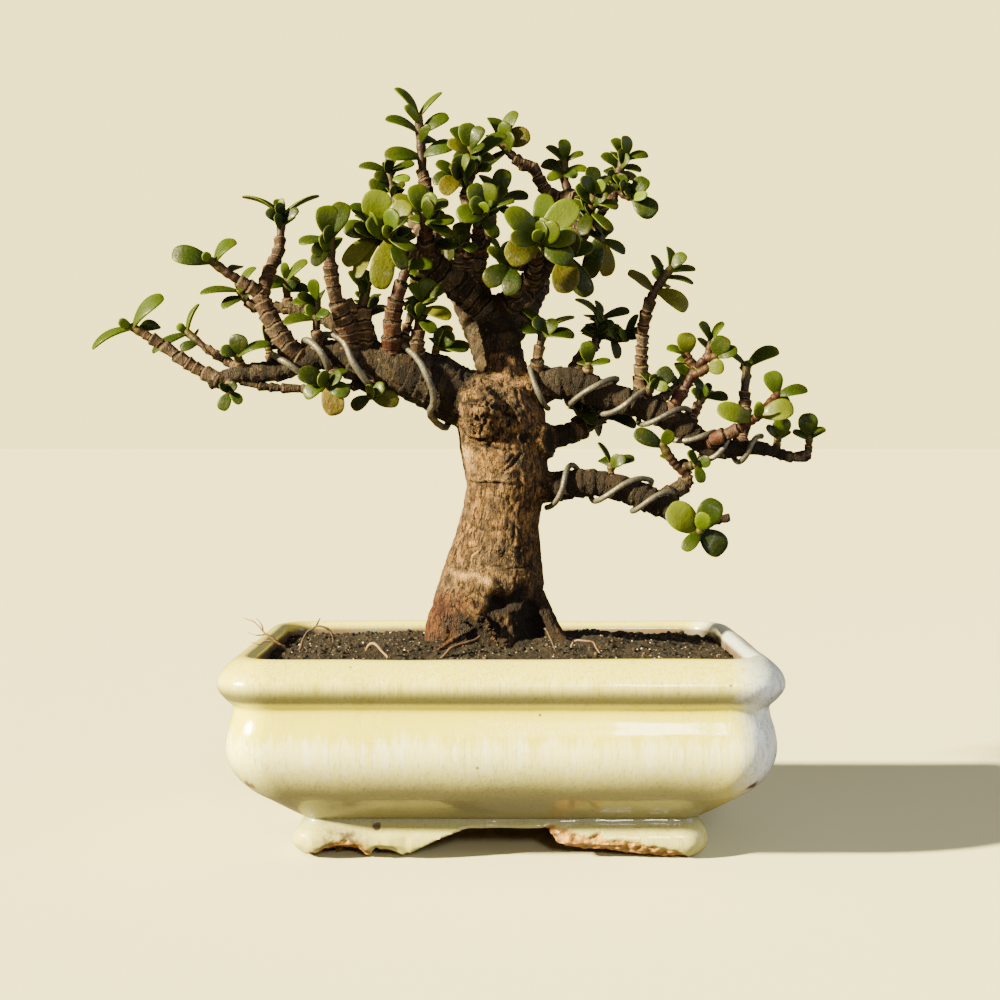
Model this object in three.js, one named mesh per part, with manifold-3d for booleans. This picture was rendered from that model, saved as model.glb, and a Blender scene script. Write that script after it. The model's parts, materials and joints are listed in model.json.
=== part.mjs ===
// A dwarf jade bonsai in its glazed rectangular pot.
// Millimetres, +Z up, +X to the tree's right, and the tree's front faces -Y.
//
// The tree is drawn as a bonsai grower draws one: every point is set out on a front elevation
// through the trunk, as [x, y, z, radius], where y is its depth. onSight() then slides it along
// the line of sight from EYE, so that depth doesn't change the place it has in the front view.
import * as THREE from 'three';
import { LoftGeometry } from 'three/addons/geometries/LoftGeometry.js';
import { mergeVertices } from 'three/addons/utils/BufferGeometryUtils.js';
import Module from 'manifold-3d';

const wasm = await Module();
wasm.setup();

// ---- Driving dimensions --------------------------------------------------------------------

const EYE = new THREE.Vector3(0, -750, 167); // where the front view is taken from
const GAP = 0.3; // clear space between pieces that touch
const POT = {
  width: 230,
  depth: 170,
  corner: 20, // plan radius of the rim's corners
  cornerSteps: 3, // segments in each rounded corner
  floorTop: 27,
  base: -4.5, // level of the feet's underside
  footWall: 11,
  footHollow: 12, // level of the ceiling inside the feet
  archHeight: 13,
  // Each side of an arch: where it leaves the ground, and where its flat top begins. The front
  // one is lopsided, as the left foot runs out in a long toe.
  frontArch: { left: [-42, -13], right: [26, 18] },
  sideArch: { left: [-28, -4], right: [28, 4] },
  drainRadius: 7,
  drainX: 52,
};
// Outer side of the pot from the foot up, over the rolled rim and down the inner wall:
// [inset of this level from the widest line of the rim, height].
const POT_PROFILE = [
  [32.5, 12.3], [20.4, 20.4], [13, 25.6], [7.6, 31.5], [4.2, 38], [3.1, 44], [3.9, 51], [5.6, 57.5],
  [5.8, 61], [3.4, 63.8], [0.7, 67.6], [0, 71], [1.4, 75], [4.8, 78.6], [8, 80.6], [11, 81],
  [13.4, 79], [14, 73], [13, 44], [20, 31], [27, 27], [40, 27],
];
const FOOT_PROFILE = [[34, -4.5], [31.5, -3], [28.8, 1.5], [29.6, 6.5], [32.6, 10.5], [33.5, 16]];
const SOIL = {
  mound: [[24, 75.6], [42, 77.5], [58, 80.4], [70, 82.5]], // its top, from the pot's wall in
  clear: 0.4, // gap to the pot and to the roots
};
const SCREEN = { size: 22, thickness: 1.2, rib: 2, cells: 2 };
const WIRE = { left: 1.5, other: 1.25, sides: 5, lift: 0.55, steps: 3 }; // steps in a quarter turn
const LEAF = { thickness: 2.6, bow: 0.06 };
// Hidden shoots: where the pairs start on the stem, how they shrink and rise up it, and their roll.
const WHORL = { first: 0.45, last: 0.95, shrink: 0.18, rise: 0.25, lift: 0.3, start: 0.6, roll: 55 };
const SIDES = { trunk: 12, limb: 6, root: 5, twig: 4, shoot: 3 };

const COLOUR = {
  glaze: 0xe9e6c4, soil: 0x3a2a1e, bark: 0x6b5140, wire: 0x8e8a80, screen: 0x26292b, leaf: 0x6f9a2c,
};

// ---- Trunk, limbs and roots: [x, y, z, radius] -----------------------------------------------

const TRUNK = [
  [-5, 2, 42, 27], [-5, 2, 62, 28], [-5.3, 1, 80, 26.5], [-5.1, 0, 97, 24.6], [-2.6, 0, 115, 21.2],
  [-0.2, 0, 133, 17.4], [1.3, 0, 142, 17], [2.6, 0, 151, 18.3], [0.8, 0, 169, 19.6],
  [0, 0, 181, 19.6], [0, 0, 192, 14],
];
const ROOTS = [
  [[-14, -8, 104, 9], [-24, -12, 90, 8], [-29, -14, 79, 7], [-37, -16, 70, 5]],
  [[10, -8, 100, 9], [16, -11, 86, 8], [21, -14, 77, 6.5], [31, -18, 70, 5]],
  [[4, -14, 100, 7], [6, -20, 86, 5.5], [4, -26, 78, 5], [0, -36, 73, 3.5]],
  [[-12, 12, 102, 10], [-22, 20, 86, 8], [-32, 30, 76, 6], [-40, 38, 70, 5]],
  [[10, 12, 102, 10], [20, 22, 86, 8], [28, 32, 76, 6], [36, 42, 70, 5]],
  [[-6, -18, 92, 4], [-14, -24, 84, 3.2], [-22, -30, 79.5, 2.4], [-31, -36, 74, 2]],
];
const CALLUS = [[-12, -11, 188, 8], [-8, -15, 181, 9.5], [-6, -13, 172, 9]];
const STUMP = [[8, -2, 168, 12], [17, -6, 168.5, 9], [22, -8, 169, 7.6]];

const LEFT_MAIN = [
  [-4, 0, 184, 14], [-20, -2, 188.5, 13], [-27, -3, 193, 12.8], [-36, -5, 196, 12], [-44.5, -7, 199.5, 11],
  [-55.5, -8, 202, 9.8], [-66.5, -9, 204, 8.6], [-75.5, -10, 206.5, 6.6], [-88.5, -10, 203, 5.8],
  [-97.5, -10, 199.5, 5], [-106, -10, 198.8, 4.5], [-113, -10, 198.2, 4.2], [-119.5, -10, 196.6, 3.9],
  [-128.8, -10, 193.6, 3.2],
];
const LEFT_UNDER = [
  [-50, -8, 196, 3], [-66, -10, 192.4, 2.2], [-89, -10, 191.4, 2], [-106, -10, 192.6, 2],
  [-117, -10, 195.6, 1.8],
];
const LEFT_BACK = [
  [-60, -2, 204, 7], [-68, 10, 214, 5.4], [-75.5, 20, 221.5, 4.6], [-84, 28, 225, 4], [-97.5, 36, 227, 3.4],
  [-110, 40, 227, 2.4],
];
const RIGHT_MAIN = [
  [0, 0, 184, 12], [16, -1, 191.5, 8.2], [22, -2, 193.5, 7.5], [32.5, -3, 193.5, 7.4],
  [43.5, -4, 189.5, 6.6], [52.5, -4, 186.5, 6.2], [61.5, -4, 184, 6], [70, -4, 180.5, 5.9],
  [79, -4, 175.5, 5.6], [85.5, -4, 170, 5.3], [92, -4, 166, 4.9], [99, -4, 164.5, 4.4],
  [105.5, -4, 165, 4], [112, -4, 165.5, 3.6], [119, -4, 164, 2.8], [127.5, -4, 161.5, 2.5],
  [137, -4, 162, 2.4],
];
const RIGHT_UNDER = [[6, 6, 168, 8], [19.5, 10, 169.5, 6], [31, 17, 171.5, 4.6]];
const LOWER_RIGHT = [
  [6, -2, 149, 9], [21.5, -4, 148, 7], [32.5, -5, 149.5, 6.5], [41.5, -6, 149.8, 6.2],
  [50.5, -7, 148, 6], [59, -8, 145.5, 6], [65.5, -9, 142.5, 6], [72.5, -10, 139, 5.4],
  [79, -11, 134.5, 4.2], [84.5, -12, 131, 3.4], [92, -12, 132.5, 2.2], [101, -12, 134.5, 2.1],
];
const LOWER_FORK = [[68, -9, 141, 5], [73.5, -8, 143.8, 4.4], [79, -6, 147.5, 3.9], [82.5, -5, 150, 3.4]];
const LEADER = [[0, 0, 180, 14], [3, 2, 193, 10], [1.8, 4, 204, 8.8], [-0.5, 5, 215, 8.4], [-4, 6, 224, 7.6]];
const RIGHT_FORK = [
  [-3, 6, 221, 7], [0, 5, 225.5, 6.6], [6, 4, 231.5, 6], [13, 4, 237.5, 5.8], [17.5, 5, 244.5, 5.5],
  [26, 8, 251.5, 5], [34, 8, 259, 4.4], [35, 8, 268, 3.8], [33, 8, 275.5, 2.8],
];
const LEFT_FORK = [
  [-3, 6, 222, 7], [-11.5, 4, 230.5, 7], [-20.5, 0, 238, 6.9], [-29, -4, 244.5, 6.5], [-36, -6, 249, 5.4],
];
const CENTRE_FORK = [
  [-7, 5, 227, 6], [-10, 4, 238, 4.8], [-10, 3, 246, 4.2], [-7.5, 3, 255, 3.4], [-5.7, 3, 263.5, 2.5],
];
const BACK_LIMB = [[0, 8, 188, 9], [-5, 26, 202, 6.4], [-12, 42, 218, 5], [-20, 56, 234, 3.6]];
const BACK_RIGHT = [[0, 8, 210, 6.5], [10, 24, 223, 5.2], [17, 38, 235, 4]];
const BACK_LOW = [[38, 0, 191, 5], [48, 18, 187, 4.2], [60, 34, 184, 3.2], [70, 44, 186, 2.2]];
const BACK_LEFT = [[-46, 0, 200, 6], [-52, 20, 204, 4.6], [-56, 38, 210, 3.4], [-58, 48, 216, 2.4]];

// ---- Cut stubs: twigs that end bare -----------------------------------------------------------

const STUBS = [
  [[-94, -10, 203, 2.6], [-95.3, -9, 211, 2.2]],
  [[-60.5, -15, 219, 2.2], [-64.5, -17, 226, 2.2], [-67, -18, 231, 2]],
  [[-43, -5, 204, 3.2], [-42, -3, 216, 2.6], [-37, -2, 230, 2]],
  [[-88, -10, 206, 3], [-89, -11, 210, 2.6]],
];

// ---- Leafy shoots ----------------------------------------------------------------------------
// twig: the woody part, which belongs to the tree. stems: the young growth; the first continues
// the twig, and each other one starts inside an earlier one. leaves: [at, x, y, z, width, turn]
// where at counts along the stems (1.4 is four tenths of the way up the second), x, y, z is the
// leaf's tip, and turn is how far its face is rolled up from facing the front, in degrees.

const SHOOTS = {
  leaves_left_tip: {
    twig: [[-124, -10, 195, 2.8], [-137, -10, 202, 2.4], [-148, -10, 209.8, 2.3], [-157, -10, 215.3, 2.1]],
    stems: [[[-162.5, -10, 218.6, 1.7]]],
    leaves: [
      [0.9, -147.8, -14, 232.3, 8.5, 48], [0.85, -180.4, -8, 208.5, 9, 62], [0.99, -168.5, -14, 221.5, 4, 20],
    ],
  },
  leaves_left_low: {
    twig: [[-112, -8, 199, 2.4], [-119, 2, 202.5, 1.9], [-130.6, 9, 209.8, 1.6]],
    stems: [[[-138.5, 12, 216.4, 1.4]]],
    leaves: [
      [0.95, -132.5, 14, 229, 7.5, 66], [0.9, -154, 10, 206.7, 8, 58], [0.99, -143, 10, 219, 4, 30],
      [0.3, -141.5, 8, 208.8, 4.5, 20],
    ],
  },
  leaves_left_upright: {
    twig: [[-113, -11, 200, 2], [-115.5, -13, 204, 1.8]],
    stems: [[[-116, -14, 206, 1.6]]],
    leaves: [
      [0.9, -114.5, -18, 215.5, 8.5, 10], [0.7, -101, -18, 210.5, 8, 58], [0.8, -124, -17, 208.5, 5.5, 30],
    ],
  },
  leaves_left_small: {
    twig: [[-101, -8, 201, 2], [-102, -6, 208, 1.6]],
    stems: [[[-102.5, -6, 210.5, 1.4]]],
    leaves: [[0.95, -103.8, -6, 220, 6.5, 50], [0.8, -93, -3, 215, 6, 50]],
  },
  leaves_left_hanging: {
    twig: [[-119, -11, 196, 1.8], [-119.5, -12.5, 191.4, 1.5]],
    stems: [[[-119.5, -13, 189.6, 1.3]]],
    leaves: [[0.9, -123.5, -14, 181.5, 5.5, 10], [0.8, -114.5, -16, 184.5, 4.5, 30]],
  },
  leaves_upper_left: {
    twig: [
      [-88, -10, 204, 4.6], [-93, -12, 208.5, 4.1], [-99.3, -12, 218.5, 3.6], [-102.8, -12, 225, 3.3],
      [-106.5, -12, 233, 3], [-115, -14, 239, 2.2],
    ],
    stems: [[[-120, -15, 242, 1.9], [-127.5, -16, 247.6, 1.6]]],
    leaves: [
      [0.95, -145.2, -18, 250.8, 8.5, 18], [0.9, -115.6, -18, 256, 8, 48], [0.99, -131, -21, 251, 4, 10],
    ],
  },
  leaves_upper_left_tall: {
    twig: [[-105, -12, 231, 2.8], [-102.5, -6, 241.5, 2.5], [-98, -1, 250.5, 2.3], [-96.8, 2, 258, 2]],
    stems: [[[-96.2, 3, 267.8, 1.6]]],
    leaves: [
      [0.92, -114.3, 4, 275.5, 8, 72], [0.92, -79, 4, 276, 8, 72], [0.6, -103.5, -2, 269.5, 5, 30],
      [0.6, -88.5, -2, 269.8, 5, 30], [0.99, -96, 1, 275, 3.5, 20],
    ],
  },

  leaves_back_left_end: {
    twig: [[-107, 39, 227, 2.4], [-111.5, 38, 229.5, 2]],
    stems: [[[-115, 36, 234.5, 1.6]]],
    leaves: [
      [0.95, -133, 34, 233, 7, 66], [0.9, -107.5, 38, 245, 6, 55], [0.4, -123, 34, 226.5, 7, 40],
      [0.99, -116, 30, 240, 4, 20],
    ],
  },
  leaves_back_left_middle: {
    twig: [[-93, 34, 226.5, 2.6], [-94, 33, 232, 2]],
    stems: [[[-94.5, 32, 239, 1.6]]],
    leaves: [
      [0.9, -84.5, 28, 247.5, 7, 45], [0.7, -104.5, 30, 236.5, 7, 45], [0.99, -95.5, 30, 247, 4, 20],
      [0.3, -84, 38, 235, 6, 45],
    ],
  },
  leaves_left_front: {
    twig: [[-80, -11, 207, 2.8], [-81, -15, 213.5, 2.1], [-81.2, -16, 218.5, 1.9]],
    stems: [[[-81, -16, 230.5, 1.5]]],
    leaves: [
      [0.97, -92, -18, 229, 7, 58], [0.92, -81.5, -28, 239.5, 6, 40], [0.3, -96.4, -18, 219.8, 7, 58],
      [0.45, -75.5, -26, 223.5, 5, 40], [0.6, -86.5, -23, 226, 4.5, 20],
    ],
  },
  leaves_thick_left: {
    twig: [
      [-66, -12, 207, 4.6], [-66.8, -16, 214, 4.4], [-69.7, -19, 222, 4.1], [-72.4, -23, 230.5, 3.8],
      [-74.2, -26, 239.5, 3.4], [-75, -28, 247, 3],
    ],
    stems: [[[-74.8, -30, 257.5, 2.2]]],
    leaves: [
      [0.97, -78.2, -33, 272, 10, 8], [0.9, -89.5, -32, 255.5, 9, 70], [0.97, -68.5, -30, 273.5, 9, 18],
      [0.55, -83.5, -36, 251, 6, 15], [0.6, -83, -36, 245, 6, 20],
    ],
  },

  leaves_crown_left: {
    twig: [[-35, -6, 249, 4.6], [-45, -13, 252.5, 3.4]],
    stems: [
      [[-53, -18, 256, 2.8], [-56, -24, 263, 2]],
      [[-47, -14, 253.5, 2.4], [-49, -25, 256, 2.2], [-49, -31, 259, 1.8]],
    ],
    leaves: [
      [0.9, -66.8, -24, 272, 8, 42], [0.97, -53, -29, 279, 12, 0], [0.8, -70, -26, 262, 8, 25],
      [0.7, -69.5, -26, 245, 8, 15], [0.55, -63, -31, 239, 7.5, 20], [0.5, -60, -14, 244, 6, 60],
      [1.97, -40, -34, 273.5, 9, 25], [1.92, -46, -40, 270, 8.5, 40], [1.7, -53.5, -34, 234, 10, 5],
      [1.8, -38.5, -38, 251.5, 7, 50], [1.99, -52, -41, 262, 5, 10], [1.6, -42.5, -33, 243, 6.5, 30],
    ],
  },
  leaves_crown_middle: {
    twig: [[-33, -5, 248, 4], [-33, -13, 256, 3], [-33, -18, 261, 2.6]],
    stems: [[[-34, -22, 268.5, 2]]],
    leaves: [
      [0.97, -38.5, -23, 281, 9, 12], [0.9, -22.5, -27, 272.5, 8, 50], [0.6, -20.5, -28, 264, 8, 42],
      [0.5, -21.5, -29, 257, 8, 45], [0.8, -47, -17, 276.5, 8, 35], [0.99, -30.5, -29, 275, 5, 10],
    ],
  },

  leaves_thin_left: {
    twig: [[-60, -11, 207, 3.4], [-60.2, -14, 215, 3.1], [-60.6, -15, 222, 2.9], [-61, -16, 228, 2.6]],
    stems: [[[-58.8, -17, 236, 1.8]]],
    leaves: [[0.9, -51, -16, 245, 6.5, 40], [0.7, -66.5, -13, 243.5, 6, 45]],
  },
  leaves_red_stem: {
    twig: [
      [-48, -11, 206, 4], [-47.7, -16, 215, 3.9], [-47.7, -19, 222, 3.5], [-46, -22, 230.5, 3],
      [-43.4, -24, 239, 2.5],
    ],
    stems: [[[-41.6, -24, 244.5, 1.8]]],
    leaves: [[0.9, -29.5, -27, 245.5, 6.5, 35], [0.7, -52, -20, 247.5, 5, 50]],
  },
  leaves_middle_left: {
    twig: [[-37, -9, 202, 3.2], [-37, -15, 210.5, 2.9], [-36.4, -16, 217, 2.5]],
    stems: [[[-34.6, -17, 229.5, 1.6]]],
    leaves: [
      [0.97, -40.8, -20, 237.5, 6, 45], [0.97, -31, -18, 240, 8, 12], [0.9, -24.5, -22, 235, 6.5, 38],
      [0.7, -21.5, -23, 222, 7, 25], [0.4, -29.5, -25, 215.5, 6, 20], [0.45, -41.8, -25, 226.5, 5, 40],
    ],
  },
  leaves_fork: {
    twig: [[-30, -4, 201, 2.6], [-28.5, -8, 208.5, 2]],
    stems: [[[-28, -9, 210.5, 1.7]]],
    leaves: [[0.8, -13.5, -12, 209, 8, 55], [0.9, -21, -11, 218.5, 7, 45]],
  },
  leaves_under_left: {
    twig: [[-72, -13, 200, 2.4], [-75, -19, 195.5, 2]],
    stems: [[[-76.5, -22, 193, 1.7]]],
    leaves: [
      [0.8, -90, -25, 198, 8.5, 20], [0.9, -87, -23, 187.5, 7, 30], [0.9, -66.5, -27, 188.5, 7, 20],
      [0.99, -73, -27, 179, 9.5, 0],
    ],
  },
  leaves_under_middle: {
    twig: [[-56, -10, 195, 2.4], [-57.5, -13, 190, 1.8]],
    stems: [[[-57.5, -14, 187.8, 1.5]]],
    leaves: [[0.8, -44.5, -17, 185, 7.5, 20], [0.9, -66, -15, 182.5, 6, 30]],
  },
  leaves_top_left: {
    twig: [[-31, -3, 247, 4.2], [-30.5, 4, 266, 3.2], [-32.5, 8, 278, 2.7], [-34.4, 9, 287, 2.2]],
    stems: [[[-35, 9, 297, 1.9], [-36.2, 8, 311, 1.5]]],
    leaves: [
      [0.97, -47, 6, 323.2, 7, 62], [0.97, -25.6, 8, 321.4, 7, 62], [0.85, -42.5, 2, 315.5, 4, 20],
      [0.72, -51.4, 6, 309.5, 7.5, 55], [0.7, -22.5, 7, 311, 7.5, 42], [0.28, -51.8, 5, 293.4, 8, 40],
      [0.3, -19.8, 5, 298, 7.5, 40], [0.55, -31, 0, 307, 4, 20], [0.5, -36, 20, 306, 6.5, 60],
    ],
  },

  leaves_top_left_back: {
    twig: [[-31.5, 0, 256, 2.8], [-40, 12, 266, 2.2], [-46.5, 20, 274, 1.8]],
    stems: [[[-49.4, 24, 286.5, 1.4]]],
    leaves: [
      [0.95, -62.9, 23, 288.8, 7, 58], [0.97, -37.6, 26, 290.5, 7, 58], [0.7, -39.5, 20, 283, 5, 40],
      [0.5, -58.5, 18, 280.5, 7, 25], [0.99, -49.6, 22, 293, 3.5, 20], [0.4, -50, 34, 281, 6.5, 60],
    ],
  },

  leaves_crown_top: {
    twig: [
      [-14, 3, 236, 4], [-16.8, 2, 255, 3], [-15.4, 1, 264, 2.7], [-15, 0, 272.5, 2.5],
      [-15.9, 0, 277.5, 2.2],
    ],
    stems: [
      [[-13.2, -1, 284.5, 2], [-12, -2, 290, 1.8], [-13.7, -2, 296.5, 1.5]],
      [[-14.6, -1, 281, 1.6], [-18.5, -4, 284.5, 1.4]],
    ],
    leaves: [
      [0.97, -15.9, -5, 308, 8, 5], [0.85, -24, -6, 299.5, 6.5, 35], [0.95, -7.5, -6, 306, 7, 35],
      [0.9, -21, 5, 306, 8, 30], [0.75, 2.5, 2, 303, 8, 40],
      [1.9, -29, -6, 290.5, 7, 42], [1.97, -19, -9, 294, 8, 8], [1.7, -30.5, -7, 281.5, 7, 35],
      [1.8, -25.5, -14, 276, 8.5, 18], [0.5, -4, -8, 287, 6, 30],
    ],
  },
  leaves_top_right: {
    twig: [
      [33, 8, 274, 3], [21.6, 16, 276.3, 2.8], [17.6, 19, 281.3, 2.6], [13.7, 20, 288.3, 2.4],
      [9.7, 20, 289.5, 2.3], [6.2, 20, 292.3, 2.1],
    ],
    stems: [[[2.6, 20, 295.8, 1.9], [-0.4, 19, 300, 1.6]]],
    leaves: [
      [0.97, 7.3, 16, 313, 7.5, 40], [0.85, 13.3, 14, 302.5, 9.5, 15], [0.5, -8.5, 17, 286.5, 7, 45],
      [0.75, -11.5, 22, 296.5, 7, 55], [0.97, -5, 28, 310, 7, 30],
    ],
  },

  leaves_crown_front: {
    twig: [[-9, 3, 251, 3], [-10, -7, 259, 2.4], [-9.5, -16, 264, 2.1]],
    stems: [[[-6.8, -23, 269, 1.7]]],
    leaves: [
      [0.9, -13, -27, 281.5, 8, 18], [0.97, -4.6, -27, 281.8, 8.5, 5], [0.9, 6.5, -27, 273.5, 7.5, 60],
      [0.8, -20, -28, 267, 9, 18], [0.99, -6, -33, 272.5, 5, 10], [0.5, -2.5, -26, 257, 7, 30],
    ],
  },

  leaves_crown_behind: {
    twig: [[-5.8, 3, 262, 2.5], [-4, 11, 268, 2.1]],
    stems: [[[-1.5, 18, 275, 1.7]]],
    leaves: [
      [0.97, 2, 17, 288, 8, 18], [0.9, 12.5, 13, 275, 7.5, 50], [0.6, 6, 8, 266.5, 7, 55],
      [0.9, -9, 24, 285, 8, 40], [0.5, -4, 30, 272, 7.5, 70],
    ],
  },

  leaves_crown_low: {
    twig: [[-20, -1, 240, 3], [-18.5, -6, 249, 2.2], [-17.8, -9, 252.5, 1.9]],
    stems: [[[-17.5, -11, 255, 1.6]]],
    leaves: [
      [0.8, -28.8, -14, 254, 6.5, 35], [0.8, -10.5, -14, 251.5, 6, 45], [0.97, -19, -14, 264.5, 7, 18],
    ],
  },
  leaves_top_small: {
    twig: [[33, 9, 273, 2.8], [30, 18, 277, 2.2]],
    stems: [[[27.6, 24, 284, 1.8], [28, 26, 291.5, 1.4]]],
    leaves: [
      [0.9, 19.4, 25, 297.5, 6, 45], [0.97, 27, 24, 301, 6, 30], [0.95, 36.6, 23, 294.5, 6, 55],
      [0.7, 38, 22, 287, 6, 55], [0.65, 17.4, 27, 289.8, 7, 28], [0.55, 20, 18, 283, 4.5, 20],
      [0.6, 33.5, 17, 284, 5, 20], [0.6, 28, 37, 290, 6, 60],
    ],
  },

  leaves_right_crown: {
    twig: [[35, 8, 266, 3], [44, 13, 271.5, 2.6], [49.5, 16, 275, 2.3]],
    stems: [
      [[50.2, 16, 280.4, 1.8], [52.1, 16, 287, 1.6], [54.3, 16, 292.5, 1.3]],
      [[50.2, 16, 280, 1.6], [54, 15, 276.5, 1.5], [58.5, 14, 275, 1.3]],
    ],
    leaves: [
      [0.97, 48.5, 16, 301, 6.5, 38], [0.97, 54, 13, 302.5, 6, 30], [0.7, 43.6, 16, 294, 6, 45],
      [0.92, 65, 16, 293.6, 6.5, 60], [0.75, 62, 14, 286.4, 5, 40], [0.55, 60.5, 23, 282, 6.5, 45],
      [1.97, 64, 12, 284, 7.5, 22], [1.95, 68, 10, 267, 9.5, 12], [1.9, 64.5, 5, 276, 4.5, 10],
      [0.5, 49, 27, 292, 6, 60],
    ],
  },

  leaves_right_inner: {
    twig: [[34.5, 8, 260, 3.6], [37, 4, 262.5, 2.6]],
    stems: [
      [[38.6, 0, 265.5, 2.1], [40, -5, 271, 1.7], [41, -8, 277, 1.3]],
      [[38.8, -0.5, 265.5, 1.8], [42.5, -1.5, 260, 1.7], [44, -2, 256, 1.5]],
    ],
    leaves: [
      [0.72, 33, -8, 281, 7, 35], [0.98, 40, -6, 289, 7, 15], [0.98, 45.5, -14, 282.5, 5, 10],
      [0.72, 51.5, -12, 270, 7, 50], [0.5, 36.5, -13, 258, 7, 35], [0.55, 48.5, -14, 260, 7, 40],
      [0.85, 50, -4, 279.5, 5.5, 35],
      [1.95, 46.5, -3, 240, 7.5, 12], [1.7, 38.5, -2, 239, 8.5, 12], [1.95, 55, 2, 251, 6.5, 35],
    ],
  },
  leaves_front_rosette: {
    twig: [[13, 3, 238, 4], [14.5, -9, 243, 3.3], [16, -20, 250, 2.7]],
    stems: [[[16.8, -29, 254, 2.2], [16.8, -36, 256.5, 1.6]]],
    leaves: [
      [0.75, 1.5, -40, 270, 10, 12], [0.9, 3.5, -43, 257, 7.5, 22], [0.7, 2, -38, 247.5, 11.5, 8],
      [0.97, 25.5, -46, 263.5, 8, 0], [0.8, 33.8, -38, 273.5, 11, 5], [0.6, 19.5, -33, 277.5, 9, 10],
      [0.9, 33.5, -42, 258.5, 8, 12], [0.75, 31.5, -38, 246.5, 9.5, 10], [0.99, 15, -45, 261, 5, 5],
    ],
  },
  leaves_front_low: {
    twig: [[6, 4, 231, 3.4], [6, -8, 237, 2.6], [5.5, -15, 241.5, 2.1]],
    stems: [[[4.5, -21, 245, 1.7]]],
    leaves: [[0.9, -7.5, -25, 237, 9, 10], [0.9, 4.5, -28, 231.5, 8, 10], [0.97, -6.5, -26, 253, 6, 30]],
  },
  leaves_front_hanging: {
    twig: [[25, 7, 251, 3], [27, -6, 250.5, 2.4], [28, -13, 250, 2.1]],
    stems: [[[28.5, -19, 249.5, 1.8]]],
    leaves: [[0.95, 27.5, -27, 232.5, 11.5, 5], [0.6, 39.5, -20, 231.5, 9, 12], [0.8, 41, -22, 254, 7, 20]],
  },
  leaves_trunk_fork: {
    twig: [[16, -2, 194, 3], [16, -5, 204, 2.4], [17.2, -5, 210.5, 2]],
    stems: [[[19.2, -5, 218.4, 1.5]]],
    leaves: [
      [0.95, 9.5, -6, 226.5, 6.5, 60], [0.8, 8.5, -8, 217, 6.5, 30], [0.95, 33, -7, 222.8, 7, 66],
      [0.55, 32.8, -9, 213.8, 7.5, 38],
    ],
  },
  leaves_right_behind: {
    twig: [[33, -1, 195, 3.4], [34, 6, 202.5, 2.8], [38, 10, 207.6, 2.5], [41.5, 12, 211, 2.3]],
    stems: [
      [[42.8, 13, 215.5, 1.8], [44.1, 14, 223, 1.4]],
      [[42.8, 13, 216, 1.6], [49, 13, 214, 1.5], [55.5, 14, 213.5, 1.3]],
    ],
    leaves: [
      [0.95, 32, 14, 230.8, 7, 60], [0.95, 57, 14, 225.8, 7, 64], [0.7, 50, 8, 219, 5, 30],
      [0.6, 35, 18, 217, 5.5, 40], [1.97, 60, 16, 224.4, 6, 50], [1.9, 63, 10, 216.5, 6, 35],
      [1.97, 65.5, 16, 211, 6, 50], [1.5, 51, 12, 204, 6, 30],
    ],
  },
  leaves_right_nub: {
    twig: [[38, -4, 196, 2.4], [38.5, -7, 200.5, 1.9]],
    stems: [[[38.8, -8, 202.5, 1.5]]],
    leaves: [[0.8, 37, -11, 212.5, 6.5, 18], [0.8, 48.5, -11, 203.5, 5, 45]],
  },
  leaves_right_tall: {
    twig: [
      [61.3, -3, 186, 3.2], [61.6, -5, 199.5, 2.6], [62.2, -8, 213, 2.3], [62.8, -10, 220, 2.3],
      [65.7, -12, 230.5, 2.3],
    ],
    stems: [[[68, -12, 235, 2], [70.6, -12, 238.8, 1.8], [74.6, -12, 244, 1.4]]],
    leaves: [
      [0.25, 55.2, -14, 242.9, 7.5, 35], [0.7, 66, -10, 250.5, 6, 45], [0.97, 73, -9, 254, 5.5, 30],
      [0.97, 81.5, -14, 250.5, 6, 42], [0.9, 86, -12, 243.8, 6, 55], [0.75, 85, -15, 237, 6, 55],
      [0.3, 82.3, -15, 225.5, 8, 22], [0.4, 72, 2, 236, 6, 60],
    ],
  },

  leaves_right_base: {
    twig: [[63, -5, 187, 2.4], [65.5, -9, 191, 1.9]],
    stems: [[[66.5, -10, 193, 1.5]]],
    leaves: [[0.8, 75.5, -10, 200, 7.5, 20], [0.9, 74, -15, 191.5, 4.5, 20]],
  },
  leaves_right_red: {
    twig: [[75, -6, 181, 3], [78, -8, 187.3, 2.6], [81.3, -8, 192, 2.4]],
    stems: [
      [[83.8, -8, 196.2, 2.1], [86.5, -8, 201, 1.9], [90.9, -8, 205.3, 1.6], [92.6, -8, 213, 1.1]],
      [[86, -8, 199.8, 1.7], [83.4, -8, 203.2, 1.6], [81.4, -8, 206.5, 1.4]],
      [[90, -8, 204.6, 1.4], [95, -10, 205.5, 1.3]],
      [[84.5, -8, 197.5, 1.6], [88, -11, 198.6, 1.4], [91, -13, 200.5, 1.2]],
    ],
    leaves: [
      [0.97, 87, -12, 220.5, 6, 55], [0.97, 98.5, -12, 220.5, 6, 55], [0.85, 86.6, -5, 213.8, 5, 50],
      [0.85, 99.8, -5, 212.8, 5, 50], [1.95, 81, -10, 216.5, 8, 12], [1.95, 72.4, -10, 209, 6, 55],
      [2.9, 99.4, -13, 214.3, 8, 15], [2.95, 104.5, -14, 208.5, 6, 40], [3.95, 98.5, -17, 201, 6.5, 10],
      [0.1, 78, 1, 203, 6.5, 30],
    ],
  },
  leaves_right_back: {
    twig: [[83, -2, 173, 2.4], [85, 2, 180, 2], [87, 4, 184.5, 1.8]],
    stems: [[[89.6, 5, 188.5, 1.4]]],
    leaves: [[0.9, 84.8, 5, 196.5, 5.5, 35], [0.9, 100.5, 5, 187.3, 6.5, 50], [0.6, 92, 15, 190, 6, 60]],
  },
  leaves_far_right: {
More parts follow.
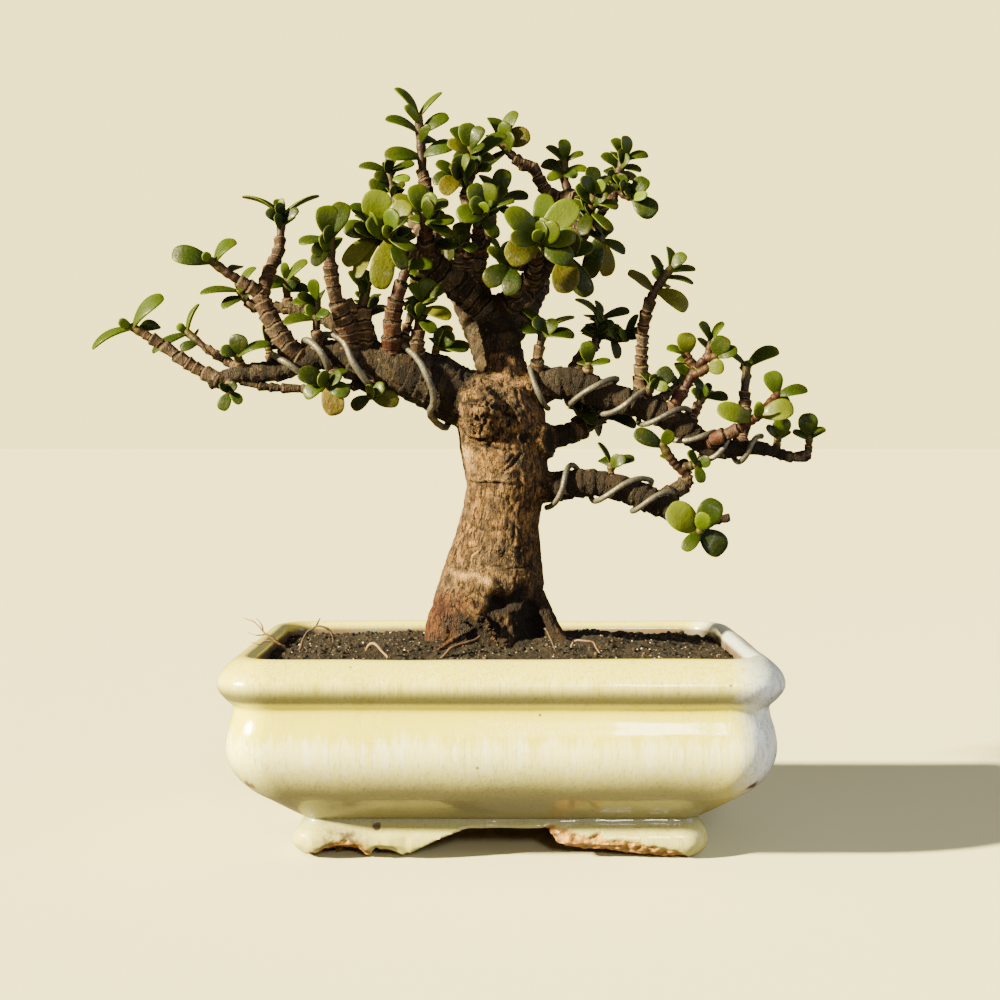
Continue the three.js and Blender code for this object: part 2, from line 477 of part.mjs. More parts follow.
    twig: [[91, -5, 167, 3.2], [96, -12, 170, 2.8], [101, -14, 172, 2.6], [106, -15, 174.5, 2.3]],
    stems: [
      [[110.5, -16, 177.5, 2], [114.5, -16, 180, 1.6]],
      [[113, -16, 179.2, 1.5], [119, -13, 185.5, 1.3], [122, -12, 189, 1.2]],
    ],
    leaves: [
      [0.55, 94.5, -20, 182.5, 8.5, 15], [0.95, 129.5, -20, 183, 9, 15], [1.95, 118, -12, 199.3, 8, 15],
      [1.9, 135.5, -12, 190.8, 6, 30], [0.8, 113.5, -26, 186, 4.5, 10],
    ],
  },
  leaves_far_right_tall: {
    twig: [[105, -3, 166, 2.8], [107.5, 0, 178, 2.3], [107.3, 4, 190, 2.2]],
    stems: [[[108.3, 6, 201.5, 1.7]]],
    leaves: [[0.95, 98.6, 4, 208.2, 6, 60], [0.95, 123, 2, 208, 8.5, 42], [0.6, 110, 17, 204, 6, 50]],
  },

  leaves_right_end_small: {
    twig: [[121, -4, 163.5, 1.9], [121.8, -5, 168, 1.5]],
    stems: [[[122.2, -5, 170, 1.3]]],
    leaves: [[0.8, 125.2, -7, 179, 7.5, 15], [0.8, 116.8, -8, 175, 4.5, 40]],
  },
  leaves_right_end: {
    twig: [[135.4, -4, 162.5, 1.9], [135.8, -4, 167.5, 1.5]],
    stems: [[[135.9, -4, 170, 1.3]]],
    leaves: [
      [0.95, 134.6, -6, 181, 8.5, 12], [0.7, 128.3, -6, 172.5, 4.5, 45], [0.7, 143.5, -6, 173.5, 4.5, 40],
    ],
  },
  leaves_lower_right_up: {
    twig: [[81.8, -5, 149, 3], [81.6, -5, 154, 2.4]],
    stems: [
      [[77.5, -6, 157.5, 1.9], [74.6, -7, 161, 1.8], [71, -8, 167, 1.5]],
      [[79.5, -5.5, 156.5, 1.6], [84, -6, 157.5, 1.5], [87.4, -7, 158, 1.3]],
    ],
    leaves: [
      [0.95, 58.2, -10, 172.5, 7, 15], [0.97, 74.5, -12, 173.5, 5.5, 10], [1.9, 82, -10, 163.5, 6, 50],
      [1.95, 92.5, -12, 160, 5, 20], [1.9, 88.5, -10, 149.5, 5, 20],
    ],
  },
  leaves_lower_rosette: {
    twig: [[84, -12, 131, 3], [86.5, -18, 129.8, 2.3]],
    stems: [[[87.8, -24, 128.8, 2], [88, -28, 128.6, 1.6]]],
    leaves: [
      [0.6, 73, -27, 139, 12, 5], [0.7, 95.5, -29, 143, 10, 10], [0.97, 90, -36, 137, 6.5, 5],
      [0.8, 80.5, -31, 119.5, 6, 15], [0.7, 98.5, -27, 118.5, 10.5, 5],
    ],
  },
  leaves_lower_small: {
    twig: [[48.5, -7, 150, 2.2], [48.5, -8, 155.5, 1.6]],
    stems: [[[48.7, -8, 158, 1.3]]],
    leaves: [[0.9, 42.5, -9, 168, 5.5, 60], [0.8, 59.5, -10, 160.5, 6.5, 50]],
  },
  leaves_right_shade: {
    twig: [[30, 16, 171.5, 4], [36.5, 21, 173.5, 3.4]],
    stems: [
      [[42.5, 26.5, 177, 2.8], [47.5, 31, 180, 1.8]],
      [[40.5, 25, 176, 1.6], [35.5, 13, 180.5, 1.6], [33.5, 9, 182.5, 1.4]],
    ],
    leaves: [
      [0.9, 60, 30, 174.5, 8, 55], [0.9, 38.5, 27, 187, 8, 15], [0.97, 54, 36, 190, 6.5, 40],
      [0.7, 42, 40, 172, 7, 50], [1.95, 28, 8, 188, 5.5, 20], [1.95, 42, 7, 176, 6, 40],
    ],
  },
  leaves_back_top: {
    twig: [[-19, 55, 232, 3.4], [-20.5, 58, 237, 2.6]],
    stems: [
      [[-22.5, 61, 243.5, 2.2], [-23.5, 63, 253, 1.7]],
      [[-22, 60.5, 241.5, 1.8], [-30, 57, 238, 1.8], [-39, 56, 239, 1.5]],
    ],
    whorls: { count: 3, length: 16.5, width: 8.5 },
  },
  leaves_back_upper: {
    twig: [[17, 38, 234.5, 4], [18.5, 44, 241, 3]],
    stems: [
      [[22, 52, 248, 2.4], [25, 56, 258, 1.7]],
      [[20, 47.5, 244, 2], [8, 48, 245, 1.9], [-1, 49, 251.5, 1.6]],
    ],
    whorls: { count: 3, length: 16.5, width: 8.5 },
  },
  leaves_back_right: {
    twig: [[69, 43, 186, 2.4], [73, 46, 188.5, 2]],
    stems: [[[78, 49, 193, 1.5]]],
    whorls: { count: 2, length: 13, width: 7 },
  },
  leaves_back_low_left: {
    twig: [[-58, 47, 215, 2.5], [-58.5, 50, 219.5, 2]],
    stems: [[[-58.5, 53, 228, 1.6]]],
    whorls: { count: 3, length: 15, width: 8 },
  },
};

// Training wires: which limb each winds round, and at which x it crosses the limb's bottom (-90),
// front (0), top (90) and back (180), one turn adding 360.
const WIRES = {
  wire_left: {
    limb: LEFT_MAIN, radius: WIRE.left,
    turns: [
      [-17, -180], [-19, -90], [-34, 0], [-54, 90], [-52, 180], [-50, 270], [-66, 360], [-78, 450],
      [-76, 540], [-74, 630], [-78, 720], [-84, 810], [-86, 900], [-86, 990], [-92, 1080], [-100, 1170],
      [-102, 1215],
    ],
  },
  wire_right: {
    limb: RIGHT_MAIN, radius: WIRE.other,
    turns: [
      [17, -90], [16.5, 0], [17, 90], [26, 180], [31, 270], [40, 360], [49, 450], [47, 540], [47, 630],
      [56, 720], [64, 810], [62, 900], [64, 990], [72, 1080], [79, 1170], [79, 1260], [80, 1350], [86, 1440],
      [92, 1530], [91, 1620], [91, 1710], [97, 1800], [101, 1890], [102, 1980], [104, 2070], [109, 2160],
      [114, 2250],
    ],
  },
  wire_lower: {
    limb: LOWER_RIGHT, radius: WIRE.other,
    turns: [
      [20, -90], [28, 0], [32, 90], [36, 180], [42, 270], [52, 360], [63, 450], [63, 540], [61, 630],
      [66, 720], [73, 810],
    ],
  },
};

// ---- Small helpers ---------------------------------------------------------------------------

function onSight([x, y, z, radius]) {
  const scale = (y - EYE.y) / -EYE.y;
  return { at: new THREE.Vector3(x * scale, y, EYE.z + (z - EYE.z) * scale), radius };
}

// A closed geometry as a manifold-3d solid. Points that meet are merged, and the triangles that
// this flattens are left out.
function solidFrom(geometry) {
  const bare = new THREE.BufferGeometry();
  bare.setAttribute('position', geometry.getAttribute('position'));
  bare.setIndex(geometry.getIndex());
  const merged = mergeVertices(bare, 1e-4);
  const index = merged.getIndex().array;
  const kept = [];
  for (let i = 0; i < index.length; i += 3) {
    const [a, b, c] = [index[i], index[i + 1], index[i + 2]];
    if (a !== b && b !== c && c !== a) kept.push(a, b, c);
  }
  const mesh = new wasm.Mesh({
    numProp: 3, vertProperties: merged.getAttribute('position').array, triVerts: new Uint32Array(kept),
  });
  return new wasm.Manifold(mesh);
}

function geometryFrom(solid) {
  const mesh = solid.getMesh();
  const geometry = new THREE.BufferGeometry();
  geometry.setAttribute('position', new THREE.BufferAttribute(mesh.vertProperties, 3));
  geometry.setIndex(new THREE.BufferAttribute(mesh.triVerts, 1));
  geometry.computeVertexNormals();
  return geometry;
}

const joined = (solids) => solids.reduce((whole, next) => whole.add(next));

// A rod through the stations { at, radius }, round in section, with flat ends. The far end is
// square to endWay where one is given.
function rod(stations, sides, endWay) {
  const sections = [];
  const side = new THREE.Vector3(0, 1, 0);
  stations.forEach(({ at, radius }, i) => {
    const before = stations[Math.max(i - 1, 0)].at;
    const after = stations[Math.min(i + 1, stations.length - 1)].at;
    const atEnd = endWay && i === stations.length - 1;
    const along = atEnd ? endWay.clone() : after.clone().sub(before).normalize();
    side.addScaledVector(along, -side.dot(along)).normalize();
    const across = along.clone().cross(side);
    const ring = [];
    for (let k = 0; k < sides; k++) {
      const turn = (k / sides) * Math.PI * 2;
      ring.push(at.clone().addScaledVector(side, Math.cos(turn) * radius)
        .addScaledVector(across, Math.sin(turn) * radius));
    }
    sections.push(ring);
  });
  return solidFrom(new LoftGeometry(sections, { capStart: true, capEnd: true }));
}

// A route of drawn points, as stations with `between` more in each stretch of a smooth curve.
function smoothed(route, between) {
  const stations = route.map(onSight);
  const curve = new THREE.CatmullRomCurve3(stations.map(({ at }) => at), false, 'centripetal');
  const last = stations.length - 1;
  const count = last * (between + 1);
  return Array.from({ length: count + 1 }, (_, i) => {
    const place = (i / count) * last;
    const low = Math.min(Math.floor(place), last - 1);
    const radius = THREE.MathUtils.lerp(stations[low].radius, stations[low + 1].radius, place - low);
    return { at: curve.getPoint(i / count), radius };
  });
}

// The point a given share of the way along a stem's stations.
function pointOn(stations, share) {
  const place = share * (stations.length - 1);
  const low = Math.min(Math.floor(place), stations.length - 2);
  return stations[low].at.clone().lerp(stations[low + 1].at, place - low);
}

const grown = (stations, extra) => stations.map(({ at, radius }) => ({ at, radius: radius + extra }));

// ---- Pot ---------------------------------------------------------------------------------------

// The pot's plan at one level, counterclockwise from above: a rectangle with round corners.
function planRing(inset, z) {
  const halfX = POT.width / 2 - inset;
  const halfY = POT.depth / 2 - inset;
  const radius = Math.max(POT.corner - inset * 0.35, 6);
  const ring = [];
  for (let corner = 0; corner < 4; corner++) {
    const signX = corner === 0 || corner === 3 ? 1 : -1;
    const signY = corner < 2 ? 1 : -1;
    for (let step = 0; step <= POT.cornerSteps; step++) {
      const turn = ((corner + step / POT.cornerSteps) * Math.PI) / 2;
      ring.push(new THREE.Vector3(
        signX * (halfX - radius) + Math.cos(turn) * radius,
        signY * (halfY - radius) + Math.sin(turn) * radius, z));
    }
  }
  return ring;
}

const planLoft = (profile) => solidFrom(new LoftGeometry(
  profile.map(([inset, z]) => planRing(inset, z)), { capStart: true, capEnd: true }));

// The gap between two feet, as a flat-topped arch that runs right through along Y.
function archTunnel({ left, right }, length) {
  const top = POT.base + POT.archHeight;
  const toe = POT.base + POT.archHeight / 6;
  const bend = POT.base + POT.archHeight * 0.7;
  const shape = new THREE.Shape();
  shape.moveTo(left[0], POT.base - 1);
  shape.lineTo(right[0], POT.base - 1);
  shape.lineTo(right[0] + (right[1] - right[0]) / 8, toe);
  shape.quadraticCurveTo((right[0] + right[1]) / 2, bend, right[1], top);
  shape.lineTo(left[1], top);
  shape.quadraticCurveTo((left[0] + left[1]) / 2, bend, left[0] + (left[1] - left[0]) / 8, toe);
  shape.closePath();
  const geometry = new THREE.ExtrudeGeometry(shape, { depth: length, bevelEnabled: false, curveSegments: 4 });
  return geometry.translate(0, 0, -length / 2).rotateX(Math.PI / 2);
}

function drainHole(side, radius, bottom, top) {
  const geometry = new THREE.CylinderGeometry(radius, radius, top - bottom, 20);
  return solidFrom(geometry.rotateX(Math.PI / 2).translate(side * POT.drainX, 0, (top + bottom) / 2));
}

function makePot() {
  const inner = FOOT_PROFILE.map(([inset]) => inset + POT.footWall);
  const hollow = planLoft([[inner[0], POT.base - 1], [inner[3], POT.footHollow]]);
  const feet = planLoft(FOOT_PROFILE).subtract(hollow)
    .subtract(solidFrom(archTunnel(POT.frontArch, POT.depth * 2)))
    .subtract(solidFrom(archTunnel(POT.sideArch, POT.width * 2).rotateZ(Math.PI / 2)));
  const holes = [-1, 1].map((side) => drainHole(side, POT.drainRadius, 0, POT.floorTop + 10));
  return joined([planLoft(POT_PROFILE), feet]).subtract(holes[0]).subtract(holes[1]);
}

// ---- Soil and the screens under it ----------------------------------------------------------

function block(width, depth, height, x, y, z) {
  return solidFrom(new THREE.BoxGeometry(width, depth, height).translate(x, y, z));
}

function screenPlate(side) {
  const { size, thickness, rib, cells } = SCREEN;
  const cell = (size - rib * (cells + 1)) / cells;
  const level = POT.floorTop + GAP + thickness / 2;
  let plate = block(size, size, thickness, side * POT.drainX, 0, level);
  for (let i = 0; i < cells * cells; i++) {
    const x = ((i % cells) - (cells - 1) / 2) * (cell + rib);
    const y = (Math.floor(i / cells) - (cells - 1) / 2) * (cell + rib);
    plate = plate.subtract(block(cell, cell, thickness * 2, side * POT.drainX + x, y, level));
  }
  return plate;
}

function screenPocket(side) {
  const size = SCREEN.size + 2 * GAP;
  const height = SCREEN.thickness + 2 * GAP;
  return block(size, size, height, side * POT.drainX, 0, POT.floorTop + height / 2);
}

// Soil fills the pot, a hair clear of its wall, and mounds up towards the trunk.
function makeSoil(rooted) {
  const inside = POT_PROFILE.slice(-5, -1).reverse();
  const wall = inside.map(([inset, z]) => [inset + SOIL.clear, Math.max(z, POT.floorTop + GAP)]);
  return planLoft([...wall, ...SOIL.mound]).subtract(rooted)
    .subtract(screenPocket(-1)).subtract(screenPocket(1));
}

// ---- Wood ------------------------------------------------------------------------------------

// Where a shoot's young stem stands on the flat end of its twig, and which way it leaves it.
function seatOf({ twig, stems }) {
  const seat = onSight(twig[twig.length - 1]);
  return { ...seat, way: onSight(stems[0][0]).at.sub(seat.at).normalize() };
}

function woodRods(extra) {
  const limbs = [
    LEFT_MAIN, LEFT_BACK, RIGHT_MAIN, RIGHT_UNDER, LOWER_RIGHT, LOWER_FORK, LEADER, RIGHT_FORK, LEFT_FORK,
    CENTRE_FORK, BACK_LIMB, BACK_RIGHT, BACK_LOW, BACK_LEFT,
  ];
  const shootTwigs = Object.values(SHOOTS).map((shoot) => (
    rod(grown(smoothed(shoot.twig, 0), extra), SIDES.twig, seatOf(shoot).way)));
  return [
    rod(grown(smoothed(TRUNK, 0), extra), SIDES.trunk),
    ...ROOTS.map((route) => rod(grown(smoothed(route, 0), extra), SIDES.root)),
    rod(grown(smoothed(CALLUS, 0), extra), SIDES.limb),
    rod(grown(smoothed(STUMP, 0), extra), SIDES.limb),
    ...limbs.map((route) => rod(grown(smoothed(route, 0), extra), SIDES.limb)),
    ...[LEFT_UNDER, ...STUBS].map((route) => rod(grown(smoothed(route, 0), extra), SIDES.twig)),
    ...shootTwigs,
  ];
}

// The roots and trunk as far as the soil reaches, with the soil's clearance.
function rootedSpace() {
  const extra = SOIL.clear;
  const trunk = grown(smoothed(TRUNK, 0), extra);
  trunk[0].at.z -= extra;
  return joined([
    rod(trunk, SIDES.trunk), ...ROOTS.map((route) => {
      const stations = grown(smoothed(route, 0), extra);
      const end = stations[stations.length - 1];
      end.at.addScaledVector(end.at.clone().sub(stations[stations.length - 2].at).normalize(), extra);
      return rod(stations, SIDES.root);
    }),
  ]);
}

// ---- Wires -----------------------------------------------------------------------------------

// The wire's route: it rides on the limb's surface, and its angle round the limb follows turns.
function wireStations({ limb, radius, turns }) {
  const centre = smoothed(limb, 3);
  const stations = [];
  for (let i = 0; i + 1 < turns.length; i++) {
    const [fromX, fromTurn] = turns[i];
    const [toX, toTurn] = turns[i + 1];
    const last = i + 2 === turns.length ? WIRE.steps : WIRE.steps - 1;
    for (let step = 0; step <= last; step++) {
      const x = THREE.MathUtils.lerp(fromX, toX, step / WIRE.steps);
      const turn = THREE.MathUtils.degToRad(THREE.MathUtils.lerp(fromTurn, toTurn, step / WIRE.steps));
      const k = nearestStation(centre, x);
      const along = centre[k + 1].at.clone().sub(centre[k - 1].at).normalize();
      const front = new THREE.Vector3(0, -1, 0).addScaledVector(along, along.y).normalize();
      const up = front.clone().cross(along);
      if (up.z < 0) up.negate();
      const reach = centre[k].radius + radius + WIRE.lift;
      stations.push({
        at: centre[k].at.clone().addScaledVector(front, Math.cos(turn) * reach)
          .addScaledVector(up, Math.sin(turn) * reach),
        radius,
      });
    }
  }
  return stations;
}

// The station whose x on the elevation is nearest to the one asked for.
function nearestStation(stations, x) {
  let best = 1;
  for (let i = 1; i < stations.length - 1; i++) {
    const scale = (s) => (s.at.y - EYE.y) / -EYE.y;
    const off = Math.abs(stations[i].at.x / scale(stations[i]) - x);
    if (off < Math.abs(stations[best].at.x / scale(stations[best]) - x)) best = i;
  }
  return best;
}

// ---- Leaves ----------------------------------------------------------------------------------

// One fleshy leaf: a point inside the stem, widest past the middle, and a short tip, with a slight
// bow. [share of the length, share of the width, share of the thickness]
const LEAF_SECTIONS = [[0, 0, 0], [0.42, 0.94, 1], [0.8, 0.96, 0.8], [1, 0, 0]];

function leafSolid({ base, tip, width, turn }) {
  const along = tip.clone().sub(base);
  const length = along.length();
  along.normalize();
  const front = new THREE.Vector3(0, -1, 0).addScaledVector(along, along.y);
  if (front.lengthSq() < 0.02) front.set(0, 0, 1).addScaledVector(along, -along.z);
  front.normalize().applyAxisAngle(along, THREE.MathUtils.degToRad(along.x < 0 ? turn : -turn));
  const across = along.clone().cross(front);
  const sections = LEAF_SECTIONS.map(([share, wide, thick]) => {
    const centre = base.clone().addScaledVector(along, share * length)
      .addScaledVector(front, -LEAF.bow * length * 4 * share * (1 - share));
    const half = (width / 2) * wide;
    const rise = (LEAF.thickness / 2) * thick;
    return [
      centre.clone().addScaledVector(front, rise), centre.clone().addScaledVector(across, half),
      centre.clone().addScaledVector(front, -rise), centre.clone().addScaledVector(across, -half),
    ];
  });
  return solidFrom(new LoftGeometry(sections));
}

// Opposite pairs up a stem, each turned a quarter from the last, for shoots the front view hides.
function whorlLeaves(stations, { count, length, width }) {
  const leaves = [];
  for (let pair = 0; pair < count; pair++) {
    const share = THREE.MathUtils.lerp(WHORL.first, WHORL.last, pair / Math.max(count - 1, 1));
    const size = 1 - WHORL.shrink * pair;
    const rise = WHORL.rise + WHORL.lift * pair;
    for (let side = 0; side < 2; side++) {
      const turn = (pair / 2 + side) * Math.PI + WHORL.start;
      const way = new THREE.Vector3(Math.cos(turn), Math.sin(turn), rise).normalize();
      const base = pointOn(stations, share);
      const tip = base.clone().addScaledVector(way, length * size);
      leaves.push({ base, tip, width: width * size, turn: WHORL.roll });
    }
  }
  return leaves;
}

function makeShoot({ twig, stems, leaves = [], whorls }) {
  const seat = seatOf({ twig, stems });
  const drawn = stems.map((stem) => stem.map(onSight));
  drawn[0].unshift({ at: seat.at.clone().addScaledVector(seat.way, GAP), radius: seat.radius });
  const stemRods = drawn.map((stations) => rod(stations, SIDES.shoot));
  const placed = leaves.map(([at, x, y, z, width, turn]) => {
    const base = pointOn(drawn[Math.floor(at)], at % 1);
    return { base, tip: onSight([x, y, z, 0]).at, width, turn };
  });
  const hidden = whorls ? drawn.flatMap((stations) => whorlLeaves(stations, whorls)) : [];
  const blades = [...placed, ...hidden].map(leafSolid);
  return joined([...stemRods, ...blades]);
}

// ---- Assembly --------------------------------------------------------------------------------

const bonsai = new THREE.Group();

function addPiece(name, solid, colour, roughness, metalness = 0) {
  const material = new THREE.MeshStandardMaterial({ color: colour, roughness, metalness });
  const mesh = new THREE.Mesh(geometryFrom(solid), material);
  mesh.name = name;
  bonsai.add(mesh);
}

const wireRoutes = Object.entries(WIRES).map(([name, wire]) => [name, wireStations(wire)]);
const wireSpace = joined(wireRoutes.map(([, stations]) => rod(grown(stations, GAP), WIRE.sides)));

addPiece('pot', makePot(), COLOUR.glaze, 0.25);
addPiece('soil', makeSoil(rootedSpace()), COLOUR.soil, 0.95);
addPiece('tree_wood', joined(woodRods(0)).subtract(wireSpace), COLOUR.bark, 0.85);
wireRoutes.forEach(([name, stations]) => addPiece(name, rod(stations, WIRE.sides), COLOUR.wire, 0.45, 0.8));
addPiece('drain_screen_left', screenPlate(-1), COLOUR.screen, 0.6);
addPiece('drain_screen_right', screenPlate(1), COLOUR.screen, 0.6);
Object.entries(SHOOTS).forEach(([name, shoot]) => addPiece(name, makeShoot(shoot), COLOUR.leaf, 0.5));

// The origin is the middle of the whole object's footprint, on the surface it stands on.
const box = new THREE.Box3().setFromObject(bonsai);
bonsai.position.set(-(box.min.x + box.max.x) / 2, -(box.min.y + box.max.y) / 2, -box.min.z);

export default bonsai;
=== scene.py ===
"""A dwarf jade bonsai in its glazed rectangular pot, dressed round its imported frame.

Every table of points is in millimetres on a front elevation through the trunk, as x, y, z and
radius, where y is the depth. on_sight() slides a point along the line of sight from EYE, so that
its depth does not change the place it has in the front view.
"""

from __future__ import annotations

import itertools
import json
import logging
import math
import random
from dataclasses import dataclass, field
from enum import Enum

import bmesh
import bpy
import numpy as np
from bmesh.types import BMesh, BMFace
from bpy.types import Material, Mesh, Node, NodeSocket, NodeTree, Object
from mathutils import Color, Matrix, Vector, noise
from mathutils.bvhtree import BVHTree
from numpy import ndarray

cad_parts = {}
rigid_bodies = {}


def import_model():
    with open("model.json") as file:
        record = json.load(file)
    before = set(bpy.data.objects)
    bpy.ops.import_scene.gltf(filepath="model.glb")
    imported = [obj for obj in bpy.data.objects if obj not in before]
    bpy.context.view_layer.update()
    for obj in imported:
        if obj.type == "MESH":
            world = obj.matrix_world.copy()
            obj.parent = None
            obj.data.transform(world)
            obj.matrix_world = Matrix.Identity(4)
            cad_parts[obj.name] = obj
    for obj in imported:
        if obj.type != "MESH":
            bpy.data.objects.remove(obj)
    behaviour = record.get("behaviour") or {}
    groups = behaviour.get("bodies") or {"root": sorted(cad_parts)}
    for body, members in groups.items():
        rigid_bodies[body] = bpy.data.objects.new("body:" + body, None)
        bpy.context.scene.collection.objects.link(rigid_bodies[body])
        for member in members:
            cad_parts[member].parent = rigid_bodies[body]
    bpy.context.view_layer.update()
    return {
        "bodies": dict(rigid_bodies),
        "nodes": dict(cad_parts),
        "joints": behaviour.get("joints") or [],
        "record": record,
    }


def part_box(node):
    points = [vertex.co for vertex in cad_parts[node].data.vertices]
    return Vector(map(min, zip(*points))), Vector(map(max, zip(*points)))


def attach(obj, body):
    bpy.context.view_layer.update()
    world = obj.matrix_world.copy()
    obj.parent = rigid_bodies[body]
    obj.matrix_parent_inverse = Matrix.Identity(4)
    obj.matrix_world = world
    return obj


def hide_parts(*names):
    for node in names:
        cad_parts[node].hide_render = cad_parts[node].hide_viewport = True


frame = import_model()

LOG = logging.getLogger("bonsai")
MM = 0.001
EYE = Vector((0.0, -750.0, 167.0))
POT_LOW, POT_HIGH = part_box("pot")
FEET_LEVEL = -4.5  # the feet's underside on the front elevation, in millimetres
POT_CENTRE = Vector((*((POT_LOW + POT_HIGH) / 2).xy, POT_LOW.z - FEET_LEVEL * MM))
BODY = "root"
CHUNK = 3000  # how many vertices are measured against the branches at a time
NOISE_SEED = 7  # noise_vector() shifts its samples by it, and by the clock without it

Route = list[list[float]]  # the rows of a table


def rows(text: str) -> Route:
    """The rows of a table that is written as numbers, with commas between the rows."""
    return [[float(number) for number in row.split()] for row in text.split(",")]


def routes(text: str) -> list[Route]:
    """Several tables, with semicolons between them."""
    return [rows(part) for part in text.split(";")]


@dataclass(frozen=True)
class Shoot:
    """A leafy shoot, written as tables.

    Attributes:
        looks: A letter for the tone of each leaf.
        wood: Its twig.
        green: Its young stems, which go on from the twig.
        blades: Each leaf's stem and share along it, its tip, its width and its turn.
        whorls: Without blades, each stem's pairs of leaves, and a leaf's length and width.
        redness: How red its wood is, from 0 to 1.
        alone: Whether it stands alone, with one leaf behind it at most.
    """

    looks: str
    wood: str
    green: str
    blades: str = ""
    whorls: tuple[int, float, float] | None = None
    redness: float = 0.0
    alone: bool = False


# ---- Trunk, limbs and roots ----

TRUNK = rows("-5 2 42 27, -5 2 62 28, -5.3 1 80 26.5, -5.1 0 97 24.6, -2.6 0 115 21.2, -.2 0 133 17.4, "
    "1.3 0 142 17, 2.6 0 151 18.3, .8 0 169 19.6, 0 0 181 19.6, 0 0 192 14")
ROOTS = routes("-14 -8 104 9, -24 -12 90 8, -28 -13.5 79 6.6, -33 -16 70 4.6; 12 -8 100 7.5, 20 -11 87 5.6, "
    "26 -14 79 4.4, 34 -18 70 3.6; 4 -14 100 6, 5 -18 86 4.6, 3 -22 78 4, 0 -28 71 3; -12 12 102 10, "
    "-22 20 86 8, -32 30 76 6, -40 38 70 5; 8 12 102 8.5, 16.5 22 86 6, 25 32 76 4.6, 34 42 70 4; "
    "-6 -18 92 3, -14 -23 84 2.2, -22 -28.5 79.5 1.5, -31 -35 74 1.1")
CALLUS = rows("-12 -11 188 8, -8 -15 181 9.5, -6 -13 172 9")
STUMP = rows("8 -2 168 12, 17 -6 168.5 9, 22 -8 169 7.6")

LEFT_MAIN = rows("-4 0 184 14, -20 -2 188.5 13, -27 -3 193 12.8, -36 -5 196 12, -44.5 -7 199.5 11, "
    "-55.5 -8 202 9.8, -66.5 -9 204 8.6, -75.5 -10 206.5 6.6, -88.5 -10 203 5.8, -97.5 -10 199.5 5, "
    "-106 -10 198.8 4.5, -113 -10 198.2 4.2, -119.5 -10 196.6 3.9, -128.8 -10 193.6 3.2")
LEFT_UNDER = rows("-50 -8 196 3, -66 -10 192.4 2.2, -89 -10 191.4 2, -106 -10 192.6 2, -117 -10 195.6 1.8")
LEFT_BACK = rows("-60 -2 204 4.8, -68 10 214 3.8, -75.5 20 221.5 3.8, -84 28 225 3.6, -97.5 36 227 3.2, "
    "-110 40 227 2.4")
RIGHT_MAIN = rows("0 0 184 12, 16 -1 191.5 8.2, 22 -2 193.5 7.5, 32.5 -3 193.5 7.4, 43.5 -4 189.5 6.6, "
    "52.5 -4 186.5 6.2, 61.5 -4 184 6, 70 -4 180.5 5.9, 79 -4 175.5 5.6, 85.5 -4 170 5.3, 92 -4 166 4.9, "
    "99 -4 164.5 4.4, 105.5 -4 165 4, 112 -4 165.5 3.6, 119 -4 164 2.8, 127.5 -4 161.5 2.5, "
    "137 -4 162 2.4")
RIGHT_UNDER = rows("6 6 168 8, 19.5 10 169.5 6, 31 17 171.5 4.6")
LOWER_RIGHT = rows("6 -2 149 9, 21.5 -4 148 7, 32.5 -5 149.5 6.5, 41.5 -6 149.8 6.2, 50.5 -7 148 6, "
    "59 -8 145.5 6, 65.5 -9 142.5 6, 72.5 -10 139 5.4, 79 -11 134.5 4.2, 84.5 -12 131 3.4, "
    "92 -12 132.5 2.2, 101 -12 134.5 2.1")
LOWER_FORK = rows("68 -9 141 5, 73.5 -8 143.8 4.4, 79 -6 147.5 3.9, 82.5 -5 150 3.4")
LEADER = rows("0 0 180 14, 3 2 193 10, 1.8 4 204 8.8, -.5 5 215 8.4, -4 6 224 7.6")
RIGHT_FORK = rows("-3 6 221 7, 0 5 225.5 6.6, 6 4 231.5 6, 13 4 237.5 5.8, 17.5 5 244.5 5.5, 26 8 251.5 5, "
    "34 8 259 4.4, 35 8 268 3.8, 33 8 275.5 2.8")
LEFT_FORK = rows("-3 6 222 7, -11.5 4 230.5 7, -20.5 0 238 6.9, -29 -4 244.5 6.5, -36 -6 249 5.4")
CENTRE_FORK = rows("-7 5 227 6, -10 4 238 4.8, -10 3 246 4.2, -7.5 3 255 3.4, -5.7 3 263.5 2.5")
BACK_LIMB = rows("0 8 188 9, -5 26 202 6.4, -12 42 218 5, -20 56 234 3.6")
BACK_RIGHT = rows("0 8 210 6.5, 10 24 223 5.2, 17 38 235 4")
BACK_LOW = rows("38 0 191 5, 48 18 187 4.2, 60 34 184 3.2, 70 44 186 2.2")
BACK_LEFT = rows("-46 0 200 6, -52 20 204 4.6, -56 38 210 3.4, -58 48 216 2.4")

# ---- Cut stubs: twigs that end bare ----

STUBS = routes("-94 -10 203 2.6, -95.3 -9 211 2.2; -60.5 -15 219 2.2, -64.5 -17 226 2.2, -67 -18 231 2; "
    "-43 -5 204 3.2, -42 -3 216 2.6, -37 -2 230 2; -88 -10 206 3, -89 -11 210 2.6")

# ---- Leafy shoots, by their names after "leaves_" ----

